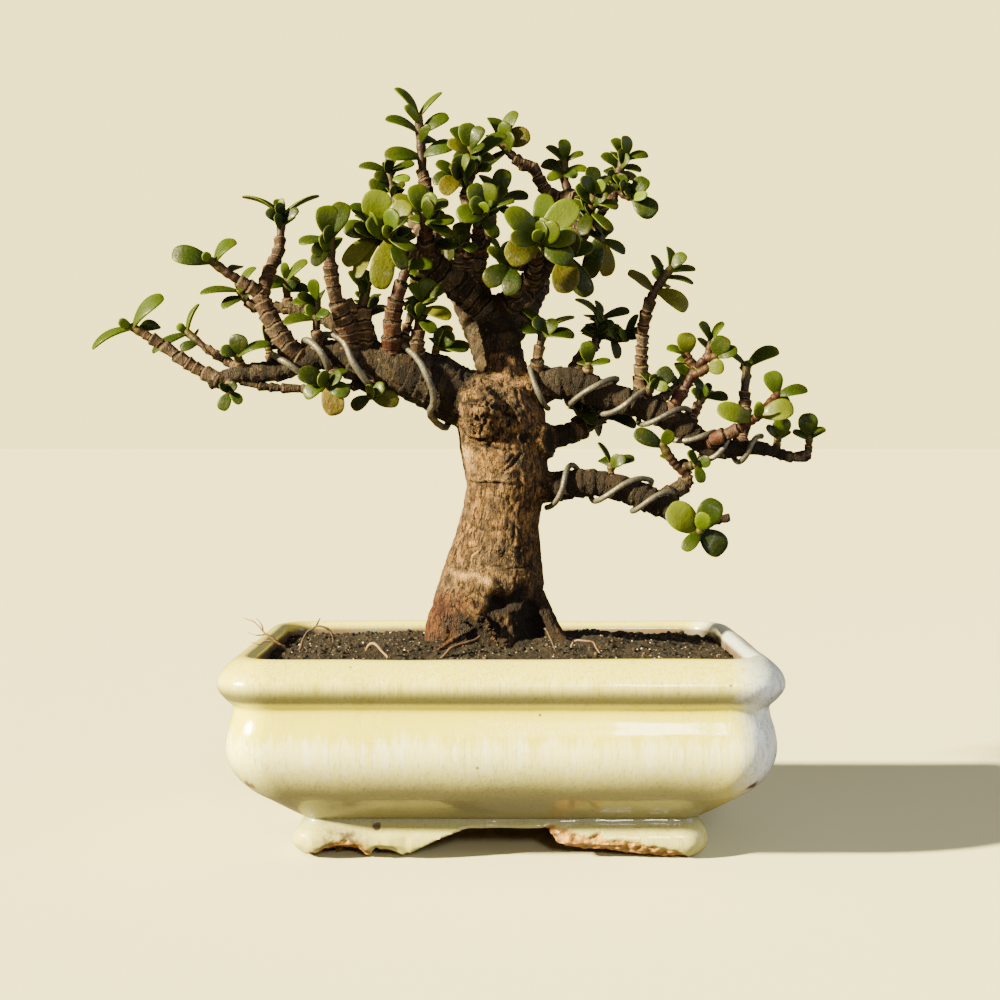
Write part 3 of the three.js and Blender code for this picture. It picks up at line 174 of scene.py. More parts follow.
SHOOTS = {
    "left_tip": Shoot("ffb", "-124 -10 195 2.8, -137 -10 202 2.4, -148 -10 209.8 2.3, -157 -10 215.3 2.1",
        "-162.5 -10 218.6 1.7", ".9 -147.8 -14 232.3 8.5 48, .85 -180.4 -8 208.5 9 62, "
        ".99 -168.5 -14 221.5 4 20", redness=0.3, alone=True),
    "left_low": Shoot("fgbg", "-112 -8 199 2.4, -119 2 202.5 1.9, -130.6 9 209.8 1.6",
        "-138.5 12 216.4 1.4", ".95 -132.5 14 229 7.5 66, .9 -154 10 206.7 8 58, .99 -143 10 219 4 30, "
        ".3 -141.5 8 208.8 4.5 20", alone=True),
    "left_upright": Shoot("dgg", "-113 -11 200 2, -115.5 -13 204 1.8", "-116 -14 206 1.6",
        ".9 -114.5 -18 215.5 8.5 10, .7 -101 -18 210.5 8 58, .8 -124 -17 208.5 5.5 30", alone=True),
    "left_small": Shoot("fg", "-101 -8 201 2, -102 -6 208 1.6", "-102.5 -6 210.5 1.4",
        ".95 -103.8 -6 220 6.5 50, .8 -93 -3 215 6 50", alone=True),
    "left_hanging": Shoot("gg", "-119 -11 196 1.8, -119.5 -12.5 191.4 1.5", "-119.5 -13 189.6 1.3",
        ".9 -123.5 -14 181.5 5.5 10, .8 -114.5 -16 184.5 4.5 30"),
    "upper_left": Shoot("gfb", "-88 -10 204 4.6, -93 -12 208.5 4.1, -99.3 -12 218.5 3.6, "
        "-102.8 -12 225 3.3, -106.5 -12 233 3, -115 -14 239 2.2", "-120 -15 242 1.9, -127.5 -16 247.6 1.6",
        ".95 -145.2 -18 250.8 8.5 18, .9 -115.6 -18 256 8 48, .99 -131 -21 251 4 10", redness=0.35,
        alone=True),
    "upper_left_tall": Shoot("ggddb", "-105 -12 231 2.8, -102.5 -6 241.5 2.5, -98 -1 250.5 2.3, "
        "-96.8 2 258 2", "-96.2 3 267.8 1.6", ".92 -114.3 4 275.5 8 72, .92 -79 4 276 8 72, "
        ".6 -103.5 -2 269.5 5 30, .6 -88.5 -2 269.8 5 30, .99 -96 1 275 3.5 20", redness=0.5),
    "back_left_end": Shoot("gfgb", "-107 39 227 2.4, -111.5 38 229.5 2", "-115 36 234.5 1.6",
        ".95 -133 34 233 7 66, .9 -107.5 38 245 6 55, .4 -123 34 226.5 7 40, .99 -116 30 240 4 20"),
    "back_left_middle": Shoot("fgbg", "-93 34 226.5 2.6, -94 33 232 2", "-94.5 32 239 1.6",
        ".9 -84.5 28 247.5 7 45, .7 -104.5 30 236.5 7 45, .99 -95.5 30 247 4 20, .3 -84 38 235 6 45"),
    "left_front": Shoot("gfggb", "-80 -11 207 2.8, -81 -15 213.5 2.1, -81.2 -16 218.5 1.9",
        "-81 -16 230.5 1.5", ".97 -92 -18 229 7 58, .92 -81.5 -28 239.5 6 40, .3 -96.4 -18 219.8 7 58, "
        ".45 -75.5 -26 223.5 5 40, .6 -86.5 -23 226 4.5 20"),
    "thick_left": Shoot("fgggd", "-66 -12 207 3.7, -66.8 -16 214 3.4, -69.7 -19 222 3.2, -72.4 -23 230.5 3, "
        "-74.2 -26 239.5 2.8, -75 -28 247 2.6", "-74.8 -30 257.5 2.2", ".97 -78.2 -33 272 10 8, "
        ".9 -89.5 -32 255.5 9 70, .97 -68.5 -30 273.5 9 18, .55 -83.5 -36 251 6 15, .6 -83 -36 245 6 20",
        redness=0.65),
    "crown_left": Shoot("gpfyygpfygbd", "-35 -6 249 4.6, -45 -13 252.5 3.4", "-53 -18 256 2.8, "
        "-56 -24 263 2; -47 -14 253.5 2.4, -49 -25 256 2.2, -49 -31 259 1.8", ".9 -66.8 -24 272 8 42, "
        ".97 -53 -29 279 12 0, .8 -70 -26 262 8 25, .7 -69.5 -26 245 8 15, .55 -63 -31 239 7.5 20, "
        ".5 -60 -14 244 6 60, 1.97 -40 -34 273.5 9 25, 1.92 -46 -40 270 8.5 40, 1.7 -53.5 -34 234 10 5, "
        "1.8 -38.5 -38 251.5 7 50, 1.99 -52 -41 262 5 10, 1.6 -42.5 -33 243 6.5 30"),
    "crown_middle": Shoot("fgfgpb", "-33 -5 248 4, -33 -13 256 3, -33 -18 261 2.6", "-34 -22 268.5 2",
        ".97 -38.5 -23 281 9 12, .9 -22.5 -27 272.5 8 50, .6 -20.5 -28 264 8 42, .5 -21.5 -29 257 8 45, "
        ".8 -47 -17 276.5 8 35, .99 -30.5 -29 275 5 10", redness=0.6),
    "thin_left": Shoot("gd", "-60 -11 207 3.4, -60.2 -14 215 3.1, -60.6 -15 222 2.9, -61 -16 228 2.6",
        "-58.8 -17 236 1.8", ".9 -51 -16 245 6.5 40, .7 -66.5 -13 243.5 6 45"),
    "red_stem": Shoot("fg", "-48 -11 206 4, -47.7 -16 215 3.9, -47.7 -19 222 3.5, -46 -22 230.5 3, "
        "-43.4 -24 239 2.5", "-41.6 -24 244.5 1.8", ".9 -29.5 -27 245.5 6.5 35, .7 -52 -20 247.5 5 50",
        redness=1.0, alone=True),
    "middle_left": Shoot("ffgygd", "-37 -9 202 3.2, -37 -15 210.5 2.9, -36.4 -16 217 2.5",
        "-34.6 -17 229.5 1.6", ".97 -40.8 -20 237.5 6 45, .97 -31 -18 240 8 12, .9 -24.5 -22 235 6.5 38, "
        ".7 -21.5 -23 222 7 25, .4 -29.5 -25 215.5 6 20, .45 -41.8 -25 226.5 5 40", redness=0.5),
    "fork": Shoot("do", "-30 -4 201 2.6, -28.5 -8 208.5 2", "-28 -9 210.5 1.7", ".8 -13.5 -12 209 8 55, "
        ".9 -21 -11 218.5 7 45"),
    "under_left": Shoot("dfgt", "-72 -13 200 2.4, -75 -19 195.5 2", "-76.5 -22 193 1.7",
        ".8 -90 -25 198 8.5 20, .9 -87 -23 187.5 7 30, .9 -66.5 -27 188.5 7 20, .99 -73 -27 179 9.5 0"),
    "under_middle": Shoot("od", "-56 -10 195 2.4, -57.5 -13 190 1.8", "-57.5 -14 187.8 1.5",
        ".8 -44.5 -17 185 7.5 20, .9 -66 -15 182.5 6 30"),
    "top_left": Shoot("ffbgggggd", "-31 -3 247 4.2, -30.5 4 266 3.2, -32.5 8 278 2.7, -34.4 9 287 2.2",
        "-35 9 297 1.9, -36.2 8 311 1.5", ".97 -47 6 323.2 7 62, .97 -25.6 8 321.4 7 62, "
        ".85 -42.5 2 315.5 4 20, .72 -51.4 6 309.5 7.5 55, .7 -22.5 7 311 7.5 42, .28 -51.8 5 293.4 8 40, "
        ".3 -19.8 5 298 7.5 40, .55 -31 0 307 4 20, .5 -36 20 306 6.5 60", redness=0.45, alone=True),
    "top_left_back": Shoot("ggbgbd", "-31.5 0 256 2.8, -40 12 266 2.2, -46.5 20 274 1.8",
        "-49.4 24 286.5 1.4", ".95 -62.9 23 288.8 7 58, .97 -37.6 26 290.5 7 58, .7 -39.5 20 283 5 40, "
        ".5 -58.5 18 280.5 7 25, .99 -49.6 22 293 3.5 20, .4 -50 34 281 6.5 60"),
    "crown_top": Shoot("fygdggfdod", "-14 3 236 4, -16.8 2 255 3, -15.4 1 264 2.7, -15 0 272.5 2.5, "
        "-15.9 0 277.5 2.2", "-13.2 -1 284.5 2, -12 -2 290 1.8, -13.7 -2 296.5 1.5; -14.6 -1 281 1.6, "
        "-18.5 -4 284.5 1.4", ".97 -15.9 -5 308 8 5, .85 -24 -6 299.5 6.5 35, .95 -7.5 -6 306 7 35, "
        ".9 -21 5 306 8 30, .75 2.5 2 303 8 40, 1.9 -29 -6 290.5 7 42, 1.97 -19 -9 294 8 8, "
        "1.7 -30.5 -7 281.5 7 35, 1.8 -25.5 -14 276 8.5 18, .5 -4 -8 287 6 30"),
    "top_right": Shoot("foddg", "33 8 274 3, 21.6 16 276.3 2.8, 17.6 19 281.3 2.6, 13.7 20 288.3 2.4, "
        "9.7 20 289.5 2.3, 6.2 20 292.3 2.1", "2.6 20 295.8 1.9, -.4 19 300 1.6", ".97 7.3 16 313 7.5 40, "
        ".85 13.3 14 302.5 9.5 15, .5 -8.5 17 286.5 7 45, .75 -11.5 22 296.5 7 55, .97 -5 28 310 7 30"),
    "crown_front": Shoot("gfgfbg", "-9 3 251 3, -10 -7 259 2.4, -9.5 -16 264 2.1", "-6.8 -23 269 1.7",
        ".9 -13 -27 281.5 8 18, .97 -4.6 -27 281.8 8.5 5, .9 6.5 -27 273.5 7.5 60, .8 -20 -28 267 9 18, "
        ".99 -6 -33 272.5 5 10, .5 -2.5 -26 257 7 30", redness=0.7),
    "crown_behind": Shoot("gdgdd", "-5.8 3 262 2.5, -4 11 268 2.1", "-1.5 18 275 1.7", ".97 2 17 288 8 18, "
        ".9 12.5 13 275 7.5 50, .6 6 8 266.5 7 55, .9 -9 24 285 8 40, .5 -4 30 272 7.5 70"),
    "crown_low": Shoot("ggf", "-20 -1 240 3, -18.5 -6 249 2.2, -17.8 -9 252.5 1.9", "-17.5 -11 255 1.6",
        ".8 -28.8 -14 254 6.5 35, .8 -10.5 -14 251.5 6 45, .97 -19 -14 264.5 7 18"),
    "top_small": Shoot("gfgfdbgd", "33 9 273 2.8, 30 18 277 2.2", "27.6 24 284 1.8, 28 26 291.5 1.4",
        ".9 19.4 25 297.5 6 45, .97 27 24 301 6 30, .95 36.6 23 294.5 6 55, .7 38 22 287 6 55, "
        ".65 17.4 27 289.8 7 28, .55 20 18 283 4.5 20, .6 33.5 17 284 5 20, .6 28 37 290 6 60", alone=True),
    "right_crown": Shoot("ffgggoggbd", "35 8 266 3, 44 13 271.5 2.6, 49.5 16 275 2.3", "50.2 16 280.4 1.8, "
        "52.1 16 287 1.6, 54.3 16 292.5 1.3; 50.2 16 280 1.6, 54 15 276.5 1.5, 58.5 14 275 1.3",
        ".97 48.5 16 301 6.5 38, .97 54 13 302.5 6 30, .7 43.6 16 294 6 45, .92 65 16 293.6 6.5 60, "
        ".75 62 14 286.4 5 40, .55 60.5 23 282 6.5 45, 1.97 64 12 284 7.5 22, 1.95 68 10 267 9.5 12, "
        "1.9 64.5 5 276 4.5 10, .5 49 27 292 6 60", redness=0.6),
    "right_inner": Shoot("gdbgdggodg", "34.5 8 260 3.6, 37 4 262.5 2.6", "38.6 0 265.5 2.1, 40 -5 271 1.7, "
        "41 -8 277 1.3; 38.8 -.5 265.5 1.8, 42.5 -1.5 260 1.7, 44 -2 256 1.5", ".72 33 -8 281 7 35, "
        ".98 40 -6 289 7 15, .98 45.5 -14 282.5 5 10, .72 51.5 -12 270 7 50, .5 36.5 -13 258 7 35, "
        ".55 48.5 -14 260 7 40, .85 50 -4 279.5 5.5 35, 1.95 46.5 -3 240 7.5 12, 1.7 38.5 -2 239 8.5 12, "
        "1.95 55 2 251 6.5 35"),
    "front_rosette": Shoot("fgofpffgb", "13 3 238 4, 14.5 -9 243 3.3, 16 -20 250 2.7", "16.8 -29 254 2.2, "
        "16.8 -36 256.5 1.6", ".75 1.5 -40 270 10 12, .9 3.5 -43 257 7.5 22, .7 2 -38 247.5 11.5 8, "
        ".97 25.5 -46 263.5 8 0, .8 33.8 -38 273.5 11 5, .6 19.5 -33 277.5 9 10, .9 33.5 -42 258.5 8 12, "
        ".75 31.5 -38 246.5 9.5 10, .99 15 -45 261 5 5"),
    "front_low": Shoot("ddg", "6 4 231 3.4, 6 -8 237 2.6, 5.5 -15 241.5 2.1", "4.5 -21 245 1.7",
        ".9 -7.5 -25 237 9 10, .9 4.5 -28 231.5 8 10, .97 -6.5 -26 253 6 30"),
    "front_hanging": Shoot("odg", "25 7 251 3, 27 -6 250.5 2.4, 28 -13 250 2.1", "28.5 -19 249.5 1.8",
        ".95 27.5 -27 232.5 11.5 5, .6 39.5 -20 231.5 9 12, .8 41 -22 254 7 20"),
    "trunk_fork": Shoot("dgdd", "16 -2 194 3, 16 -5 204 2.4, 17.2 -5 210.5 2", "19.2 -5 218.4 1.5",
        ".95 9.5 -6 226.5 6.5 60, .8 8.5 -8 217 6.5 30, .95 33 -7 222.8 7 66, .55 32.8 -9 213.8 7.5 38"),
    "right_behind": Shoot("ddddgddd", "33 -1 195 3.4, 34 6 202.5 2.8, 38 10 207.6 2.5, 41.5 12 211 2.3",
        "42.8 13 215.5 1.8, 44.1 14 223 1.4; 42.8 13 216 1.6, 49 13 214 1.5, 55.5 14 213.5 1.3",
        ".95 32 14 230.8 7 60, .95 57 14 225.8 7 64, .7 50 8 219 5 30, .6 35 18 217 5.5 40, "
        "1.97 60 16 224.4 6 50, 1.9 63 10 216.5 6 35, 1.97 65.5 16 211 6 50, 1.5 51 12 204 6 30"),
    "right_nub": Shoot("fg", "38 -4 196 2.4, 38.5 -7 200.5 1.9", "38.8 -8 202.5 1.5",
        ".8 37 -11 212.5 6.5 18, .8 48.5 -11 203.5 5 45", alone=True),
    "right_tall": Shoot("ogffgdyd", "61.3 -3 186 3.2, 61.6 -5 199.5 2.6, 62.2 -8 213 2.3, 62.8 -10 220 2.3, "
        "65.7 -12 230.5 2.3", "68 -12 235 2, 70.6 -12 238.8 1.8, 74.6 -12 244 1.4",
        ".25 55.2 -14 242.9 7.5 35, .7 66 -10 250.5 6 45, .97 73 -9 254 5.5 30, .97 81.5 -14 250.5 6 42, "
        ".9 86 -12 243.8 6 55, .75 85 -15 237 6 55, .3 82.3 -15 225.5 8 22, .4 72 2 236 6 60", alone=True),
    "right_base": Shoot("dp", "63 -5 187 2.4, 65.5 -9 191 1.9", "66.5 -10 193 1.5",
        ".8 75.5 -10 200 7.5 20, .9 74 -15 191.5 4.5 20"),
    "right_red": Shoot("ffffpfggpd", "75 -6 181 3, 78 -8 187.3 2.6, 81.3 -8 192 2.4", "83.8 -8 196.2 2.1, "
        "86.5 -8 201 1.9, 90.9 -8 205.3 1.6, 92.6 -8 213 1.1; 86 -8 199.8 1.7, 83.4 -8 203.2 1.6, "
        "81.4 -8 206.5 1.4; 90 -8 204.6 1.4, 95 -10 205.5 1.3; 84.5 -8 197.5 1.6, 88 -11 198.6 1.4, "
        "91 -13 200.5 1.2", ".97 87 -12 220.5 6 55, .97 98.5 -12 220.5 6 55, .85 86.6 -5 213.8 5 50, "
        ".85 99.8 -5 212.8 5 50, 1.95 81 -10 216.5 8 12, 1.95 72.4 -10 209 6 55, 2.9 99.4 -13 214.3 8 15, "
        "2.95 104.5 -14 208.5 6 40, 3.95 98.5 -17 201 6.5 10, .1 78 1 203 6.5 30", redness=0.9, alone=True),
    "right_back": Shoot("gdd", "83 -2 173 2.4, 85 2 180 2, 87 4 184.5 1.8", "89.6 5 188.5 1.4",
        ".9 84.8 5 196.5 5.5 35, .9 100.5 5 187.3 6.5 50, .6 92 15 190 6 60"),
    "far_right": Shoot("ppfgb", "91 -5 167 3.2, 96 -12 170 2.8, 101 -14 172 2.6, 106 -15 174.5 2.3",
        "110.5 -16 177.5 2, 114.5 -16 180 1.6; 113 -16 179.2 1.5, 119 -13 185.5 1.3, 122 -12 189 1.2",
        ".55 94.5 -20 182.5 8.5 15, .95 129.5 -20 183 9 15, 1.95 118 -12 199.3 8 15, "
        "1.9 135.5 -12 190.8 6 30, .8 113.5 -26 186 4.5 10", redness=1.0, alone=True),
    "far_right_tall": Shoot("gfd", "105 -3 166 2.8, 107.5 0 178 2.3, 107.3 4 190 2.2", "108.3 6 201.5 1.7",
        ".95 98.6 4 208.2 6 60, .95 123 2 208 8.5 42, .6 110 17 204 6 50", alone=True),
    "right_end_small": Shoot("fg", "121 -4 163.5 1.9, 121.8 -5 168 1.5", "122.2 -5 170 1.3",
        ".8 125.2 -7 179 7.5 15, .8 116.8 -8 175 4.5 40", alone=True),
    "right_end": Shoot("ggg", "135.4 -4 162.5 1.9, 135.8 -4 167.5 1.5", "135.9 -4 170 1.3",
        ".95 134.6 -6 181 8.5 12, .7 128.3 -6 172.5 4.5 45, .7 143.5 -6 173.5 4.5 40", alone=True),
    "lower_right_up": Shoot("dffgg", "81.8 -5 149 3, 81.6 -5 154 2.4", "77.5 -6 157.5 1.9, 74.6 -7 161 1.8, "
        "71 -8 167 1.5; 79.5 -5.5 156.5 1.6, 84 -6 157.5 1.5, 87.4 -7 158 1.3", ".95 58.2 -10 172.5 7 15, "
        ".97 74.5 -12 173.5 5.5 10, 1.9 82 -10 163.5 6 50, 1.95 92.5 -12 160 5 20, "
        "1.9 88.5 -10 149.5 5 20", redness=0.3, alone=True),
    "lower_rosette": Shoot("pgbgd", "84 -12 131 3, 86.5 -18 129.8 2.3", "87.8 -24 128.8 2, "
        "88 -28 128.6 1.6", ".6 73 -27 139 12 5, .7 95.5 -29 143 10 10, .97 90 -36 137 6.5 5, "
        ".8 80.5 -31 119.5 6 15, .7 98.5 -27 118.5 10.5 5", alone=True),
    "lower_small": Shoot("dd", "48.5 -7 150 2.2, 48.5 -8 155.5 1.6", "48.7 -8 158 1.3",
        ".9 42.5 -9 168 5.5 60, .8 59.5 -10 160.5 6.5 50"),
    "right_shade": Shoot("ddddgd", "30 16 171.5 4, 36.5 21 173.5 3.4", "42.5 26.5 177 2.8, 47.5 31 180 1.8; "
        "40.5 25 176 1.6, 35.5 13 180.5 1.6, 33.5 9 182.5 1.4", ".9 60 30 174.5 8 55, .9 38.5 27 187 8 15, "
        ".97 54 36 190 6.5 40, .7 42 40 172 7 50, 1.95 28 8 188 5.5 20, 1.95 42 7 176 6 40"),
    "back_top": Shoot("gfgdgf", "-19 55 232 3.4, -20.5 58 237 2.6", "-22.5 61 243.5 2.2, -23.5 63 253 1.7; "
        "-22 60.5 241.5 1.8, -30 57 238 1.8, -39 56 239 1.5", whorls=(3, 16.5, 8.5)),
    "back_upper": Shoot("gfdgfg", "17 38 234.5 4, 18.5 44 241 3", "22 52 248 2.4, 25 56 258 1.7; "
        "20 47.5 244 2, 8 48 245 1.9, -1 49 251.5 1.6", whorls=(3, 16.5, 8.5)),
    "back_right": Shoot("gfgd", "69 43 186 2.4, 73 46 188.5 2", "78 49 193 1.5", whorls=(2, 13, 7)),
    "back_low_left": Shoot("fgdgfg", "-58 47 215 2.5, -58.5 50 219.5 2", "-58.5 53 228 1.6",
        whorls=(3, 15, 8)),
}

# ---- How a leaf looks, each look by its letter ----


class Tone(Enum):
    """A leaf's age, health and painted light, with the colour that it gives the blade."""

    # FRESH: a young leaf's green, partly painted sunlight.
    FRESH = ("f", "324004", 0.15)
    GREEN = ("g", "223003", 0.25)
    # DARK: partly a darker leaf, partly painted shade for leaves in shadow.
    DARK = ("d", "182403", 0.3)
    # PALE: partly a paler leaf, partly painted sunlight on a face turned to the light.
    PALE = ("p", "48520C", 0.25)
    OLIVE = ("o", "413F09", 0.8)
    YELLOW = ("y", "4C4E08", 0.6)
    TAN = ("t", "544918", 0.9)
    BUD = ("b", "4C5E0A", 0.05)

    def __init__(self, letter: str, shade: str, wrinkle: float) -> None:
        """Keeps the letter, the colour as sRGB hex, and how wrinkled the blade is."""
        self.letter = letter
        self.shade = shade
        self.wrinkle = wrinkle


TONES = {tone.letter: tone for tone in Tone}


# ---- Curves and meshes that more than one sub-assembly uses ----


@dataclass
class Station:
    """A place on a stem or wire, with its thickness and the frame it carries there.

    Attributes:
        at: The middle of the section, in metres.
        radius: The section's radius, in metres.
        along: The way the stem runs.
        side: A direction square to along, which turns as little as it can from station to station.
    """

    at: Vector
    radius: float
    along: Vector = field(default_factory=lambda: Vector((0, 0, 1)))
    side: Vector = field(default_factory=lambda: Vector((0, 1, 0)))

    @property
    def across(self) -> Vector:
        """The third direction of the frame."""
        return self.along.cross(self.side)

    def frame(self) -> Matrix:
        """The matrix that takes a flat unit circle to this section."""
        across, side, along = self.across * self.radius, self.side * self.radius, self.along
        turned = Matrix((across, side, along)).transposed().to_4x4()
        return Matrix.Translation(self.at) @ turned


def on_sight(x: float, y: float, z: float) -> Vector:
    """Slides a drawn point, in millimetres, along its line of sight to its depth, in metres."""
    scale = (y - EYE.y) / -EYE.y
    return Vector((x * scale, y, EYE.z + (z - EYE.z) * scale)) * MM + POT_CENTRE


def curve_point(points: list[Vector], low: int, share: float) -> Vector:
    """A point on the centripetal Catmull-Rom curve through the points.

    Args:
        points: The points that the curve passes.
        low: The index of the point before the stretch.
        share: How far along the stretch the point lies.

    Returns:
        The point on the curve.
    """
    before = points[low - 1] if low else points[0] * 2 - points[1]
    after = points[low + 2] if low + 2 < len(points) else points[-1] * 2 - points[-2]
    quad = [before, points[low], points[low + 1], after]
    knots = [0.0]
    for start, end in zip(quad, quad[1:]):
        knots.append(knots[-1] + max(math.sqrt((end - start).length), 1e-6))
    place = knots[1] + share * (knots[2] - knots[1])

    def mix(a: Vector, b: Vector, i: int, j: int) -> Vector:
        """The point between a and b at the place, where a lies at knot i and b at knot j."""
        return a.lerp(b, (place - knots[i]) / (knots[j] - knots[i]))

    first, middle, last = (mix(quad[i], quad[i + 1], i, i + 1) for i in range(3))
    return mix(mix(first, middle, 0, 2), mix(middle, last, 1, 3), 1, 2)


def framed(stations: list[Station], end_way: Vector | None = None) -> list[Station]:
    """Gives each station its direction and a carried side.

    Args:
        stations: The stations in order.
        end_way: The direction at the last one, where it isn't the curve's own.

    Returns:
        The same stations.
    """
    side = Vector((0, 1, 0))
    last = len(stations) - 1
    for i, station in enumerate(stations):
        ahead, behind = stations[min(i + 1, last)], stations[max(i - 1, 0)]
        station.along = (ahead.at - behind.at).normalized()
        if end_way and i == last:
            station.along = end_way.normalized()
        side = (side - station.along * side.dot(station.along)).normalized()
        station.side = side.copy()
    return stations


def smoothed(route: Route, between: int) -> list[Station]:
    """A drawn route as stations on a smooth curve.

    Args:
        route: Points on the front elevation, x, y, z and radius in millimetres.
        between: Stations to add in each stretch.

    Returns:
        The stations, with their frames.
    """
    points = [on_sight(*point[:3]) for point in route]
    last = len(route) - 1
    stations = []
    for i in range(last * (between + 1) + 1):
        low = min(i // (between + 1), last - 1)
        share = i / (between + 1) - low
        radius = (route[low][3] + (route[low + 1][3] - route[low][3]) * share) * MM
        stations.append(Station(curve_point(points, low, share), radius))
    return framed(stations)


def evened(route: Route, step: float) -> list[Station]:
    """A drawn route as framed stations that lie about a step, in millimetres, apart."""
    longest = max((Vector(a[:3]) - Vector(b[:3])).length for a, b in zip(route, route[1:]))
    return smoothed(route, max(round(longest / step), 1))


def push(bm: BMesh, cap: BMFace) -> BMFace:
    """Extrudes an end face, which stays as a cap only where nothing grows from it yet."""
    made = bmesh.ops.extrude_face_region(bm, geom=[cap, *cap.edges, *cap.verts])["geom"]
    return next(item for item in made if isinstance(item, BMFace))


def lofted(frames: list[Matrix], sides: int) -> BMesh:
    """A closed solid through round sections.

    Args:
        frames: For each section, the matrix that a unit circle is moved by.
        sides: Points round each section.

    Returns:
        The solid.
    """
    bm = bmesh.new()
    bmesh.ops.create_circle(bm, cap_ends=True, segments=sides, radius=1, matrix=frames[0])
    cap = next(iter(bm.faces))
    for last, frame in zip(frames, frames[1:]):
        cap = push(bm, cap)
        bmesh.ops.transform(bm, matrix=frame @ last.inverted(), verts=cap.verts[:])
    bmesh.ops.recalc_face_normals(bm, faces=bm.faces[:])
    return bm


def to_mesh(bm: BMesh, name: str) -> Mesh:
    """Turns a bmesh into a mesh, and frees it."""
    mesh = bpy.data.meshes.new(name)
    bm.to_mesh(mesh)
    bm.free()
    return mesh


def sweep(stations: list[Station], sides: int) -> Mesh:
    """A closed round rod through the stations, which its user removes."""
    return to_mesh(lofted([station.frame() for station in stations], sides), "rod")


def absorb(bm: BMesh, mesh: Mesh) -> None:
    """Adds a mesh to the bmesh and removes it."""
    bm.from_mesh(mesh)
    bpy.data.meshes.remove(mesh)


def make_object(name: str, bm: BMesh) -> Object:
    """Turns a bmesh into a smooth-shaded object at the origin, and frees it."""
    for face in bm.faces:
        face.smooth = True
    piece = bpy.data.objects.new(name, to_mesh(bm, name))
    bpy.context.scene.collection.objects.link(piece)
    return piece


def apply_modifiers(piece: Object) -> None:
    """Puts the piece's modifiers into its mesh."""
    bpy.context.view_layer.update()
    depsgraph = bpy.context.evaluated_depsgraph_get()
    finished = bpy.data.meshes.new_from_object(piece.evaluated_get(depsgraph))
    piece.modifiers.clear()
    rough = piece.data
    piece.data = finished
    bpy.data.meshes.remove(rough)


def combine(piece: Object, tool: Object, operation: str) -> None:
    """Joins a tool to a piece or cuts it out, and removes the tool.

    Args:
        piece: The piece that is changed.
        tool: The object that is added or taken away.
        operation: UNION or DIFFERENCE.
    """
    modifier = piece.modifiers.new("combine", "BOOLEAN")
    modifier.operation, modifier.solver, modifier.object = operation, "EXACT", tool
    apply_modifiers(piece)
    bpy.data.objects.remove(tool)


def voxelled(piece: Object, size: float) -> None:
    """Remeshes a piece as one skin of even quads, size metres across."""
    modifier = piece.modifiers.new("skin", "REMESH")
    modifier.mode, modifier.voxel_size, modifier.use_smooth_shade = "VOXEL", size, True
    apply_modifiers(piece)


def vertex_places(mesh: Mesh) -> ndarray:
    """The mesh's vertices, one row each."""
    places = np.empty(len(mesh.vertices) * 3, np.float32)
    mesh.vertices.foreach_get("co", places)
    return places.reshape(-1, 3)


def vertex_normals(mesh: Mesh) -> ndarray:
    """The mesh's vertex normals, one row each."""
    normals = np.empty(len(mesh.vertices) * 3, np.float32)
    mesh.vertex_normals.foreach_get("vector", normals)
    return normals.reshape(-1, 3)


def move_vertices(mesh: Mesh, places: ndarray) -> None:
    """Puts the mesh's vertices at the given places."""
    mesh.vertices.foreach_set("co", np.ascontiguousarray(places, np.float32).ravel())
    mesh.update()


def paint(mesh: Mesh, name: str, values: ndarray) -> None:
    """Stores a row of four numbers for each vertex as a colour attribute."""
    layer = mesh.attributes.get(name) or mesh.attributes.new(name, "FLOAT_COLOR", "POINT")
    layer.data.foreach_set("color", np.ascontiguousarray(values, np.float32).ravel())


def wave(places: ndarray, seed: float = 0.0) -> ndarray:
    """Smooth noise from -1 to 1 at each place, where one unit is one lump."""
    return np.array([noise.noise((x + seed, y - seed, z + seed)) for x, y, z in places.tolist()])


def unit(values: ndarray) -> ndarray:
    """The values, held between 0 and 1."""
    return np.clip(values, 0, 1)


def dip(values: ndarray, width: float) -> ndarray:
    """1 where the values are 0, falling smoothly to 0 at the given width."""
    return unit(1 - np.abs(values) / width) ** 2


def linear(shade: str) -> tuple[float, float, float]:
    """The linear colour of an sRGB hex shade."""
    whole = [int(shade[i:i + 2], 16) / 255 for i in (0, 2, 4)]
    return tuple(Color(whole).from_srgb_to_scene_linear())


# ---- Finishes ----


